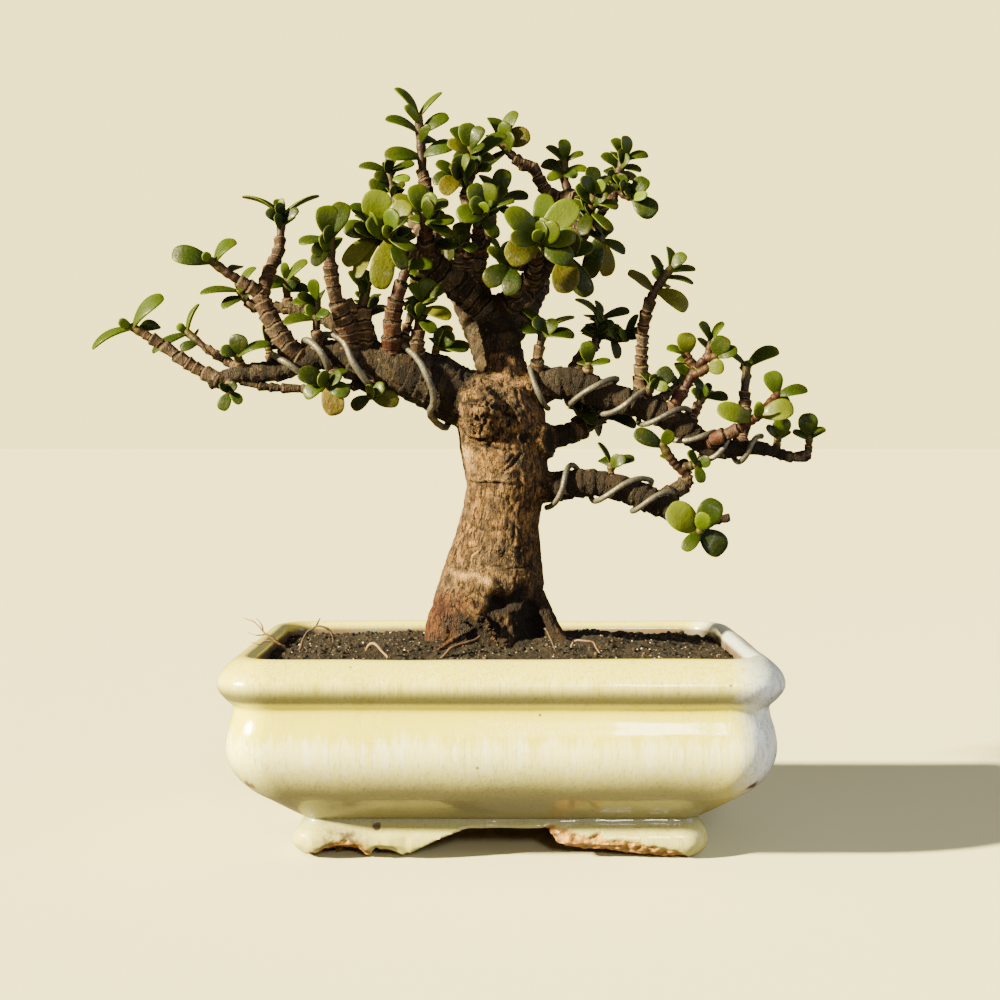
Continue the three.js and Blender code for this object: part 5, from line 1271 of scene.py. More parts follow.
    def damage(self, places: ndarray) -> tuple[ndarray, ndarray, ndarray]:
        """Where the front feet are chipped, darker, and ragged along their lower edge.

        Args:
            places: Vertices, in metres.

        Returns:
            Bare clay from 0 to 1, a darker patch from 0 to 1, and how far the edge is lifted, in
            millimetres.
        """
        x, y, z = ((places - np.array(POT_CENTRE)) / MM).T
        fine = wave(places / 0.0035, 9.0)
        front = unit((-y - 34) / 5)
        border = np.interp(x, [15, 19, 24, 30, 36, 40, 45, 51, 57, 61, 67, 74, 78],
                           [7, 10.5, 9.5, 7, 5.5, 7.5, 4, 4.6, 3.4, 2, 1, -1, -5]) + fine * 1.4
        bare = unit((border - z) / 0.8) * front * (x > 14) * (x < 80)
        border = np.interp(x, [-86, -76, -70, -64, -58, -54, -50],
                           [-5, -1, 4, 5, 3.5, -1, -5]) + fine * 1.3
        bare = np.maximum(bare, unit((border - z) / 0.9) * front * (x > -86) * (x < -50))
        dark_patch = unit(1.4 - ((x + 66) / 12) ** 2 - ((z - 3.5) / 5.5) ** 2) * front
        edge = unit((-y - 39) / 4) * unit((2.5 - z) / 5)
        ragged = np.interp(x, [-77, -73, -66, -59, -56.5, -54.5, -52, -48, -44, -40, 0, 22, 28, 36, 49,
                               60, 66],
                           [0, 3, 3.6, 3, 0.8, 0, 3.6, 4, 3, 0, 0, 5, 4.4, 3, 2, 0.6, 0]) * edge
        return bare, dark_patch, ragged

    def build(self, palette: Palette) -> Object:
        """Makes the whole pot as one skin and glazes it."""
        body_profile = [*self.rounded(self.profile[:-1], 4), self.profile[-1]]
        pot = make_object("pot_glazed", self.loft(body_profile))
        combine(pot, self.feet(), "UNION")
        for side in (-1, 1):
            bm = bmesh.new()
            place = Matrix.Translation(POT_CENTRE + Vector((side * self.drain_x, 0, 15)) * MM)
            bmesh.ops.create_cone(bm, cap_ends=True, segments=40, radius1=self.drain_radius * MM,
                                  radius2=self.drain_radius * MM, depth=44 * MM, matrix=place)
            combine(pot, make_object("drain", bm), "DIFFERENCE")
        mesh = pot.data
        places, normals = vertex_places(mesh), vertex_normals(mesh)
        bare, dark_patch, _ = self.damage(places)
        rolled = wave(places / 0.045, 2.0) * 0.00045 + wave(places / 0.016, 7.0) * 0.00012
        x, y, z = ((places - np.array(POT_CENTRE)) / MM).T
        move_vertices(mesh, places + normals * (rolled * unit((z - 15) / 6))[:, None])
        depth = np.minimum(self.width / 2 - np.abs(x), self.depth / 2 - np.abs(y))
        soiled = unit((79.5 - z) / 2.5) * (depth > 12.2) * (z > 29)
        under = (z < self.foot_hollow + 1) & (depth > 42)
        bare = np.maximum(bare, under)
        pinhole = unit(1 - np.hypot(x + 51.3, z - 9.3) / 1.7) * (y < -40)
        dark_patch = np.maximum(dark_patch, pinhole * 9)
        paint(mesh, "wear", np.stack([bare, soiled, dark_patch, np.ones_like(x)], axis=1))
        mesh.materials.clear()
        mesh.materials.append(palette.get(Glaze()))
        mesh.shade_smooth()
        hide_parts("pot")
        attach(pot, BODY)
        return pot


# ---- Soil ----


class Crumb(Enum):
    """What lies loose on the soil: its shade, its share, and its smallest and largest radius in mm."""

    DARK = ("120C08", 0.46, 0.5, 1.8)
    BROWN = ("291E15", 0.3, 0.5, 1.5)
    DRY = ("4B3B2B", 0.13, 0.4, 1.2)
    GRIT = ("BFB09A", 0.09, 0.25, 0.65)
    CLAY = ("6A4A30", 0.02, 0.5, 1.0)

    def __init__(self, shade: str, share: float, smallest: float, largest: float) -> None:
        """Keeps the crumb's shade, share and sizes."""
        self.shade = shade
        self.share = share
        self.smallest = smallest
        self.largest = largest


@dataclass
class Soil:
    """The bed of potting mix, with crumbs and dry rootlets on it.

    Attributes:
        clear: Its gap to the pot's wall, in millimetres.
        ring_gap: Distance between the rings of its top, in millimetres.
        margin: How far from the pot's widest line crumbs fall, in millimetres.
        trunk_clear: How near to the trunk's middle none fall, in millimetres.
        lowest: Height in metres under which none lie.
        mound: Its top from the wall in, as inset and height in millimetres.
        crumbs: How many are thrown.
        rootlets: Dry roots on the front elevation, as x, y, z and radius.
    """

    pot: Pot
    clear: float = 0.4
    ring_gap: float = 1.5
    margin: float = 16
    trunk_clear: float = 26
    lowest: float = 0.07
    mound: Route = field(default_factory=lambda: rows(
        "14.7 74.4, 18 75.2, 24 75.9, 42 77.7, 58 80.4, 70 82.5, 78 83"))
    crumbs: int = 2000
    rootlets: list[Route] = field(default_factory=lambda: routes(
        "-96 -52 77 0.5, -100 -53 80.5 0.45, -105.4 -54 84.5 0.4, -110 -52 88.5 0.28, "
        "-114.3 -50 90.2 0.15; "
        "-105.2 -54 84.3 0.3, -106.2 -55 87 0.22, -108.5 -55 89.6 0.14; "
        "-103.5 -53.6 83.4 0.32, -108 -55 82.6 0.24, -111.8 -56 83.4 0.15; "
        "-96 -53 77.6 0.4, -104 -55 80.1 0.32, -107 -56 78.6 0.24, -111 -56 79.4 0.15; "
        "-89 -20 76 0.55, -87.4 -20 80.5 0.5, -85 -22 84.5 0.45, -81.6 -22 86.7 0.4, -79.9 -22 90.4 0.2; "
        "-82 -22 86.4 0.4, -78 -24 86 0.4, -75 -24 83.6 0.4, -74 -25 78 0.4; "
        "-60 -44 76 0.5, -57 -46 79 0.5, -53 -50 76 0.5, -50.5 -54 72.5 0.4; "
        "-27 -42 72 0.5, -22 -42 76.5 0.55, -15 -38 79.5 0.5, -9 -34 82 0.45; "
        "19 -38 85 0.45, 22 -40 81 0.45, 24.5 -42 75 0.4; "
        "30 -30 76 0.4, 34 -33 80 0.35, 41 -34 79 0.3, 44 -36 74 0.3; "
        "-37 8 80 0.45, -33 4 84.5 0.4, -29 2 83 0.35"))

    def bed(self, palette: Palette) -> Object:
        """The bed itself, closed, a hair clear of the pot's inner wall."""
        fine = Pot(corner_steps=28, side_steps=(120, 84))
        top = []
        for (inset, height), (next_inset, next_height) in zip(self.mound, self.mound[1:]):
            wide, tall = next_inset - inset, next_height - height
            steps = max(round(wide / self.ring_gap), 1)
            top += [[inset + wide * step / steps, height + tall * step / steps] for step in range(steps)]
        wall = [[inset + self.clear, max(height, self.pot.floor_top + 0.3)]
                for inset, height in reversed(self.pot.profile[-5:-1])]
        bed = make_object("soil_bed", fine.loft([*wall, *top, self.mound[-1]]))
        places = vertex_places(bed.data)
        z = places[:, 2] / MM
        lumpy = (wave(places / 0.011, 3.0) * 1.5 + wave(places / 0.0042, 5.0) * 1.1
                 + wave(places / 0.0019, 8.0) * 0.55)
        places[:, 2] += lumpy * MM * unit((z + FEET_LEVEL - 73.2) / 1.2)
        move_vertices(bed.data, places)
        bed.data.materials.append(palette.get(Earth()))
        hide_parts("soil")
        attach(bed, BODY)
        return bed

    def litter(self, bed: Object, palette: Palette) -> Object:
        """Loose crumbs and grit that lie on the bed.

        Args:
            bed: The bed that they lie on.
            palette: The finishes.

        Returns:
            The crumbs as one piece.
        """
        draw = random.Random(11)
        ground = BVHTree.FromPolygons([v.co for v in bed.data.vertices],
                                      [p.vertices[:] for p in bed.data.polygons])
        bm = bmesh.new()
        bmesh.ops.create_icosphere(bm, subdivisions=1, radius=1.0)
        shape = to_mesh(bm, "crumb")
        bm = bmesh.new()
        kinds = list(Crumb)
        for _ in range(self.crumbs):
            kind = draw.choices(kinds, [item.share for item in kinds])[0]
            half_x, half_y = self.pot.width / 2 - self.margin, self.pot.depth / 2 - self.margin
            start = Vector((draw.uniform(-half_x, half_x), draw.uniform(-half_y, half_y), 120)) * MM
            if (start.x / MM + 4) ** 2 + (start.y / MM) ** 2 < self.trunk_clear ** 2:
                continue
            hit = ground.ray_cast(start + POT_CENTRE, (0, 0, -1))[0]
            if hit is None or hit.z < self.lowest:
                continue
            size = kind.smallest + (kind.largest - kind.smallest) * draw.random() ** 2.5
            squash = Vector((draw.uniform(0.7, 1.2), draw.uniform(0.7, 1.2), draw.uniform(0.5, 1)))
            turned = Matrix.Rotation(draw.uniform(0, 6.3), 4, Vector((draw.random(), draw.random(), 1)))
            crumb = shape.copy()
            sized = Matrix.Diagonal((*(squash * size * MM), 1))
            crumb.transform(Matrix.Translation(hit) @ turned @ sized)
            paint(crumb, "tint", np.tile([*linear(kind.shade), 1.0], (len(crumb.vertices), 1)))
            absorb(bm, crumb)
        bpy.data.meshes.remove(shape)
        litter = make_object("soil_crumbs", bm)
        litter.data.materials.append(palette.get(Tinted("crumbs")))
        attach(litter, BODY)
        return litter

    def dry_roots(self, palette: Palette) -> Object:
        """Fine dry rootlets that stick out of the soil."""
        bm = bmesh.new()
        for index, route in enumerate(self.rootlets):
            rod = sweep(evened(route, 2.0), 6)
            shade = linear("4A3627" if index % 3 else "8A6A48")
            paint(rod, "tint", np.tile([*shade, 1.0], (len(rod.vertices), 1)))
            absorb(bm, rod)
        for vert in bm.verts:
            vert.co += noise.noise_vector(vert.co / 0.004) * 0.0009
        roots = make_object("dry_rootlets", bm)
        roots.data.materials.append(palette.get(Tinted("rootlets", 0.8, 600.0)))
        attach(roots, BODY)
        return roots


# ---- Drain screens ----


def dress_screens(palette: Palette) -> list[Object]:
    """Gives the two drain screens, which stay as they are, their plastic."""
    dressed = []
    for side in ("left", "right"):
        screen = frame["nodes"][f"drain_screen_{side}"]
        screen.material_slots[0].material = palette.get(PlasticMesh())
        dressed.append(screen)
    return dressed


# ---- Wood ----


class Bark(Enum):
    """How a stretch of wood is clothed: ring spacing and depth in mm, fissure depth, and youth."""

    TRUNK = (0.0, 0.0, 1.0, 0.0)
    ROOT = (6.0, 0.12, 0.5, 0.0)
    LIMB = (5.2, 0.66, 0.35, 0.25)
    FORK = (5.6, 0.95, 0.15, 0.5)
    TWIG = (5.4, 0.95, 0.0, 0.85)

    def __init__(self, spacing: float, depth: float, fissure: float, youth: float) -> None:
        """Keeps the ring spacing and depth, the fissures' depth, and the youth."""
        self.spacing = spacing
        self.depth = depth
        self.fissure = fissure
        self.youth = youth


@dataclass
class Branch:
    """One drawn stretch of wood.

    Attributes:
        stations: Its sections.
        bark: How it is clothed.
        redness: How red its bark is, from 0 to 1.
    """

    stations: list[Station]
    bark: Bark
    redness: float = 0.0


@dataclass
class Skin:
    """Where each vertex of a piece of wood lies on the branch that carries it.

    Attributes:
        run: Distance along the branch, in millimetres.
        turn: Angle round the branch.
        radius: The branch's radius there, in millimetres.
        owner: The branch's index.
    """

    run: ndarray
    turn: ndarray
    radius: ndarray
    owner: ndarray

    @classmethod
    def lay(cls, places: ndarray, branches: list[Branch]) -> Skin:
        """Finds the branch and the station that each vertex belongs to.

        Args:
            places: The vertices, in metres.
            branches: The branches in the piece.

        Returns:
            The vertices' places on their branches.
        """
        sections, owners = [], []
        for index, branch in enumerate(branches):
            run = 0.0
            for i, station in enumerate(branch.stations):
                if i:
                    run += (station.at - branch.stations[i - 1].at).length / MM
                sections.append([*station.at, station.radius, run, *station.along, *station.side,
                                 *station.across])
                owners.append(index)
        table, owners = np.array(sections), np.array(owners)
        centres, radii = table[:, :3], table[:, 3]
        picks = []
        for part in np.array_split(places.astype(float), max(len(places) // CHUNK, 1)):
            square = (part ** 2).sum(1)[:, None] - 2 * part @ centres.T + (centres ** 2).sum(1)
            picks.append(np.argmin(np.sqrt(np.maximum(square, 0)) / radii - 0.02 * radii / MM, axis=1))
        pick = np.concatenate(picks)
        offset = places - centres[pick]
        run = table[pick, 4] + (offset * table[pick, 5:8]).sum(1) / MM
        turn = np.arctan2((offset * table[pick, 11:14]).sum(1), (offset * table[pick, 8:11]).sum(1))
        return cls(run, turn, radii[pick] / MM, owners[pick])

    def unrolled(self, around: float, along: float) -> ndarray:
        """Noise coordinates that wrap round the branch, for lumps of the given size in millimetres."""
        reach = self.radius / around
        own = self.owner * 3.17
        return np.stack([np.cos(self.turn) * reach + own, np.sin(self.turn) * reach - own,
                         self.run / along], axis=1)


@dataclass
class Mark:
    """A hollow, swelling or fold on the trunk's front, on the front elevation in millimetres.

    Attributes:
        across: Its half width.
        tall: Its half height.
        rise: How far it stands out, or goes in where it is negative.
        dark: 1 for a dark hollow or groove, where the dark is painted shade, -1 for pale peeled wood.
        turn: How far its width leans up to the right, in degrees.
        folds: Spacing of the rings that it is folded into, or 0 for none.
    """

    x: float
    z: float
    across: float
    tall: float
    rise: float
    dark: float = 0.0
    turn: float = 0.0
    folds: float = 0.0

    def share(self, x: ndarray, z: ndarray) -> tuple[ndarray, ndarray]:
        """How strongly the mark shows at each place.

        Args:
            x: Places to the right on the front elevation, in millimetres.
            z: Their heights.

        Returns:
            Its share from 0 to 1, and its folds from -1 to 1.
        """
        lean = math.radians(self.turn)
        over, up = x - self.x, z - self.z
        side = (over * math.cos(lean) + up * math.sin(lean)) / self.across
        rise = (up * math.cos(lean) - over * math.sin(lean)) / self.tall
        share = np.exp(-(side ** 2 + rise ** 2) * 1.4)
        if not self.folds:
            return share, np.ones_like(share)
        return share, np.cos(np.hypot(side * self.across, rise * self.tall) * 2 * math.pi / self.folds)


# The marks that go in are painted dark: painted shade in their hollows and grooves.
MARKS = [Mark(*row) for row in rows(
    "-9 180 10 8 1, -12 186 6 1.2 -1.2 0.9 15, -3.5 173.5 4 3 1, 10.6 170.1 4.4 4 0.9 0 0 3.1, "
    "10.6 170.1 2 1.7 -2.4 1, 6 158.8 9 0.7 -1.3 0.9 46, 2.5 159 5 0.6 -0.9 0.8 50, "
    "9 160 6 1.6 0.8 0 55, -5 151.3 13 0.8 0.9 -0.4 -3, -5 149.8 13 0.6 -1.1 1 -3, "
    "-15.4 162 4 8 0.8 -0.9 10, -3 165.5 9 1 -1.2 0.8 -8, -16 171.5 5 1 -1.1 0.8 55, "
    "-13 144 0.5 4.5 -0.7 0.8, -8 138 0.5 5 -0.7 0.8, 1 141 0.5 4 -0.7 0.8, -11 129 0.5 4 -0.7 0.7, "
    "6 130 0.5 5 -0.7 0.8, -3 126 0.5 4 -0.6 0.7, -12 122 6 0.5 -0.8 0.8 14, 1 118.5 8 0.5 -0.8 0.8 -14, "
    "9 122 6 0.5 -0.7 0.7 20, -4 113.4 7 0.5 -0.8 0.9 -16, 7 112 7 0.5 -0.8 0.8 12, "
    "-11 118 5.5 0.8 1 -0.8 58, -12.4 117.4 5.5 0.5 -0.8 0.9 58, -15.5 109 9 2.4 1.6 -0.6 -12, "
    "-5.5 105 6 2.6 2 -0.6 -35, 14 109 7 7 1.7, -1 97.5 7 4.4 -6 1, 6.5 99.5 6 2.8 -3.5 1 35, "
    "-8.4 84 10 8.5 -2.6 0.5, 15 86 6.5 10 -3 0.7, -20 97 3 9 1.4 0 0, -14.8 100.2 7 0.7 -1.2 0.7 25, "
    "-23 113 2.5 8 0.8 0 0, 17 124 3 10 0.8 0 0")]
# Small grown ridges on the trunk's front: thin roots, their knob, and the ridge between the hollows.
TRUNK_RIDGES = routes("-15.5 -21.6 99.5 2.2, -14.6 -22.6 98.4 2; -14.5 -22 98.5 1.1, -11 -24 93 .9, "
    "-6 -26.5 86 .75, -.5 -30 76.5 .6; -13.7 -22 92 .6, -19 -24 86 .55, -27 -27 76 .5; 13 -15.5 103 1.4, "
    "9.5 -18.2 95 1.5, 5.5 -21 86 1.3, 3 -24.5 77 1")


@dataclass
class Wood:
    """Roots, trunk, limbs and twigs: three closed skins that meet inside the forks.

    Attributes:
        trunk_voxel: Skin detail of the trunk and limbs, in millimetres.
        twig_voxel: Skin detail of the forks and twigs.
        step: Distance between stations.
        collar: How much wider a twig starts than it was drawn.
        stout: How much thicker a twig is with its bark.
        ruddy: Least redness of a twig.
        sides: Sides of a stout rod and of a thin one; stout_from, the stout one's least radius.
        passes: How often the skin is smoothed.
    """

    trunk_voxel: float = 0.78
    twig_voxel: float = 0.62
    step: float = 2.0
    collar: float = 1.15
    stout: float = 1.24
    ruddy: float = 0.15
    sides: tuple[int, int] = (16, 10)
    stout_from: float = 6.0
    passes: int = 2

    def trunk_branches(self) -> list[Branch]:
        """The trunk with its roots and the three wired limbs."""
        branches = [Branch(evened(TRUNK, self.step), Bark.TRUNK)]
        branches += [Branch(evened(route, self.step), Bark.ROOT, 0.2) for route in ROOTS]
        branches += [Branch(evened(route, self.step), Bark.TRUNK) for route in (CALLUS, STUMP)]
        branches += [Branch(evened(route, 1.0), Bark.ROOT) for route in TRUNK_RIDGES]
        branches += [Branch(evened(route, self.step), Bark.LIMB)
                     for route in (LEFT_MAIN, RIGHT_MAIN, RIGHT_UNDER, LOWER_RIGHT, LEADER)]
        return branches

    def twig_branches(self) -> list[Branch]:
        """The forks, the hidden limbs, the bare stubs and the shoots' twigs."""
        forks = (LEFT_BACK, LOWER_FORK, RIGHT_FORK, LEFT_FORK, CENTRE_FORK, BACK_LIMB, BACK_RIGHT,
                 BACK_LOW, BACK_LEFT, LEFT_UNDER)
        branches = [Branch(evened(route, self.step), Bark.FORK) for route in forks]
        branches += [Branch(evened(route, self.step), Bark.TWIG) for route in STUBS]
        for shoot in SHOOTS.values():
            twig = rows(shoot.wood)
            way = on_sight(*routes(shoot.green)[0][0][:3]) - on_sight(*twig[-1][:3])
            stations = framed(evened(twig, self.step), way)
            for station in stations:
                station.radius *= self.stout
            stations[0].radius *= self.collar
            stations[1].radius *= 1 + (self.collar - 1) * 0.4
            branches.append(Branch(stations, Bark.TWIG, max(shoot.redness, self.ruddy)))
        return branches

    @staticmethod
    def cut_face(branches: list[Branch], places: ndarray) -> ndarray:
        """Finds the sawn face of the stump.

        Args:
            branches: The trunk's branches.
            places: The vertices, in metres.

        Returns:
            How deep in the face each vertex lies, from 0 to 1.
        """
        start = on_sight(*STUMP[0][:3])
        end = next(branch.stations[-1] for branch in branches if branch.stations[0].at == start)
        along = np.array(end.along)
        offset = places - np.array(end.at)
        ahead = offset @ along / MM
        aside = np.linalg.norm(offset - np.outer(offset @ along, along), axis=1) / MM
        inside = unit(1 - aside / (end.radius / MM * 0.78))
        return unit(inside * 2.2) * (ahead > -2.5) * (ahead < 3)

    def relief(self, skin: Skin, branches: list[Branch]) -> tuple[ndarray, ndarray, ndarray]:
        """The bark's height over the plain rods, its creases, and the count of its rings.

        Args:
            skin: The vertices' places on their branches.
            branches: The branches.

        Returns:
            Heights in millimetres, creases from 0 to 1, and a number that passes a whole one at
            each ring.
        """
        barks = np.array([(kind.spacing, kind.depth, kind.fissure)
                          for kind in (branch.bark for branch in branches)])
        spacing, depth, fissure = barks[skin.owner].T
        stout = unit((skin.radius - 3) / 9)
        lumps = wave(skin.unrolled(7.5, 15)) * (0.2 + 0.6 * stout)
        plates = wave(skin.unrolled(2.4, 3.6)) * (0.16 + 0.22 * stout)
        split = dip(wave(skin.unrolled(2.2, 12)), 0.16) * unit(wave(skin.unrolled(5, 9)) * 2 + 0.8)
        scale = dip(wave(skin.unrolled(6, 2.2)), 0.16) * unit(wave(skin.unrolled(9, 7)) * 2.5)
        split, scale = split * fissure, scale * fissure
        height = lumps + plates - split * 0.6 - scale * 0.4

        uneven = wave(np.stack([skin.run / 13, skin.owner * 5.1, skin.owner * 2.3], axis=1)) * 0.9
        wobble = wave(skin.unrolled(6.0, 14)) * 0.2 + uneven
        cycle = skin.run / np.maximum(spacing, 1) + wobble + skin.owner * 7.37
        cycle = np.where(spacing > 0, cycle, 0.5)
        plate = np.floor(cycle)
        share = cycle - plate
        chance = np.sin(plate * 12.99 + skin.owner * 4.1) * 437.6
        chance -= np.floor(chance)
        partial = np.clip(wave(skin.unrolled(5, 6)) * 1.8 + 0.6 + chance * 0.5, 0.15, 1)
        ring = dip(cycle - np.round(cycle), 0.15) * partial
        flare = share ** 2 - 0.4 + (chance - 0.5) * 0.6
        height += depth * (spacing > 0) * (flare - ring)
        # The creases are darkened in the bark's colour, partly as painted shade.
        crease = unit(np.maximum.reduce([split, scale * 0.8, ring * 0.8 * (depth > 0.2)]))
        return height, crease, cycle

    def skin_piece(self, name: str, branches: list[Branch], voxel: float, palette: Palette) -> Object:
        """Fuses the branches in one skin, and gives it its bark.

        Args:
            name: The piece's name.
            branches: The branches to fuse.
            voxel: The skin's detail, in millimetres.
            palette: The finishes.

        Returns:
            The finished piece.
        """
        bm = bmesh.new()
        for branch in branches:
            thin = branch.stations[0].radius <= self.stout_from * MM
            absorb(bm, sweep(branch.stations, self.sides[thin]))
        piece = make_object(name, bm)
        voxelled(piece, voxel * MM)
        bm = bmesh.new()
        bm.from_mesh(piece.data)
        for _ in range(self.passes):
            bmesh.ops.smooth_vert(bm, verts=bm.verts[:], factor=0.5, use_axis_x=True, use_axis_y=True,
                                  use_axis_z=True)
        bm.to_mesh(piece.data)
        bm.free()
        mesh = piece.data
        places, normals = vertex_places(mesh), vertex_normals(mesh)
        skin = Skin.lay(places, branches)
        height, crease, cycle = self.relief(skin, branches)
        ages = np.array([(branch.redness, branch.bark.youth) for branch in branches])
        redness, youth = ages[skin.owner].T
        marks_and_shade = np.full(len(places), 0.5)
        if branches[0].bark is Bark.TRUNK:
            ridges = range(len(ROOTS) + 3, len(ROOTS) + 3 + len(TRUNK_RIDGES))
            carved = ~np.isin(skin.owner, ridges)
            height, marks_and_shade, crease = self.mark_trunk(places, normals, height, crease, carved)
            cut = self.cut_face(branches, places)
            height -= cut * 1.8
            marks_and_shade = unit(marks_and_shade + cut * 0.5)
            x, _, z = ((places - np.array(POT_CENTRE)) / MM).T
            flare = unit((-12 - x) / 5) * unit((105 - z) / 6)
            marks_and_shade += 0.14 * flare * (marks_and_shade > 0.4)
            redness = unit(np.maximum(redness + unit(wave(places / 0.012, 21.0)) * 0.25, flare))
            crease *= 1 - flare * 0.8
        redness = unit(redness * (0.85 + 0.45 * wave(places / 0.008, 13.0)))
        move_vertices(mesh, places + normals * (height * MM)[:, None])
        paint(mesh, "bark", np.stack([crease, redness, youth, marks_and_shade], axis=1))
        rings = mesh.attributes.new("rings", "FLOAT", "POINT")
        rings.data.foreach_set("value", np.ascontiguousarray(cycle, np.float32))
        mesh.materials.append(palette.get(BarkFinish()))
        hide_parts("tree_wood")
        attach(piece, BODY)
        return piece

    @staticmethod
    def mark_trunk(places: ndarray, normals: ndarray, height: ndarray, crease: ndarray,
                   carved: ndarray) -> tuple[ndarray, ndarray, ndarray]:
        """Adds the trunk's own scars, hollows and ridges to its bark, and painted shade.

        Args:
            places: The vertices, in metres.
            normals: Their normals.
            height: The bark's height so far, in millimetres.
            crease: Its creases so far.
            carved: Where hollows may go in.

        Returns:
            The new heights, the wounds, peeled wood and painted shade, and the new creases.
        """
        x, y, z = ((places - np.array(POT_CENTRE)) / MM).T
        scale = (y - EYE.y) / -EYE.y
        x = x / scale + wave(places / 0.006, 31.0) * 1.3 + wave(places / 0.0025, 33.0) * 0.35
        z = (EYE.z + (z - EYE.z) / scale
             + wave(places / 0.006, 37.0) * 1.3 + wave(places / 0.0025, 39.0) * 0.35)
        front = unit(-normals[:, 1] * 1.6) * (y < 0)
        marks_and_shade = np.full(len(places), 0.5)
        knot = np.exp(-((x + 6) / 14) ** 2 - ((z - 177) / 11) ** 2) * front
        sway = np.stack([wave(places / 0.007, seed) for seed in (51.0, 53.0, 57.0)], axis=1)
        bent = places + sway * 0.003
        # Curls: the callus's crevices, cut in and painted dark, which is painted shade.
        curls = dip(wave(bent / 0.0036, 61.0), 0.3) * unit(knot * 1.9 - 0.15)
        height = height + knot * wave(bent / 0.0048, 65.0) * 1.7 - curls * 2.2
        # The foot between the roots is set back into the trunk and painted darker.
        ledge = np.interp(x, [-24, -20, -11, -5, 6, 15, 19], [90, 94, 91, 98, 102, 98, 95]) + wave(
            places / 0.003, 71.0) * 2
        set_back = unit((ledge - z) / 3) * unit((x + 21) / 3) * unit((20 - x) / 3) * front
        set_back = np.where(carved, set_back, set_back * 0.5)
        height = height + np.where(carved, set_back * (wave(places / 0.0022, 73.0) * 0.9 - 1.2), 0)
        marks_and_shade = marks_and_shade + set_back * (0.3 + 0.2 * wave(places / 0.002, 75.0)) + curls * 0.5
        # Painted shade: the trunk's right side, away from the key light, and its right root are painted
        # darker.
        marks_and_shade += (0.26 * unit((x - 8) / 14) * (z > 126) + 0.24 * unit((x - 3) / 12) * (z <= 126)
                  + 0.12 * unit((x - 12) / 5) * (z < 104))
        crease = np.maximum(crease, curls)
        for mark in MARKS:
            share, folds = mark.share(x, z)
            share = share * front * (carved if mark.rise < -2 else 1.0)
            height = height + share * mark.rise * folds
            # A mark's dark is painted shade in its hollow or groove.
            marks_and_shade = unit(marks_and_shade + share * mark.dark * 0.6)
            # Painted shade: the troughs of a mark's folds join the darkened creases.
            crease = np.maximum(crease, unit(-folds * 1.3) * unit(share * 1.4))
        return height, marks_and_shade, crease

    def build(self, palette: Palette) -> list[Object]:
        """Makes the skins: the trunk with its limbs, and the twigs on either side of it."""
        twigs = self.twig_branches()
        left = [twig for twig in twigs if twig.stations[0].at[0] < POT_CENTRE.x]
        right = [twig for twig in twigs if twig.stations[0].at[0] >= POT_CENTRE.x]
        return [
            self.skin_piece("wood_trunk", self.trunk_branches(), self.trunk_voxel, palette),
            self.skin_piece("wood_twigs_left", left, self.twig_voxel, palette),
            self.skin_piece("wood_twigs_right", right, self.twig_voxel, palette),
        ]


# ---- Wires ----

# Which limb each wire winds round, and at which x it crosses the limb's bottom (-90), front (0),
# top (90) and back (180), one turn adding 360.
WIRES = {
    "wire_left": (LEFT_MAIN, 1.5, rows(
        "-17 -180, -19 -90, -34 0, -54 90, -52 180, -50 270, -66 360, -78 450, -76 540, -74 630, "
        "-78 720, -84 810, -86 900, -86 990, -92 1080, -100 1170, -102 1215")),
    "wire_right": (RIGHT_MAIN, 1.25, rows(
        "17 -90, 16.5 0, 17 90, 26 180, 31 270, 40 360, 49 450, 47 540, 47 630, 56 720, 64 810, 62 900, "
        "64 990, 72 1080, 79 1170, 79 1260, 80 1350, 86 1440, 92 1530, 91 1620, 91 1710, 97 1800, "
        "101 1890, 102 1980, 104 2070, 109 2160, 114 2250")),
    "wire_lower": (LOWER_RIGHT, 1.25, rows(
        "20 -90, 28 0, 32 90, 36 180, 42 270, 52 360, 63 450, 63 540, 61 630, 66 720, 73 810")),
}


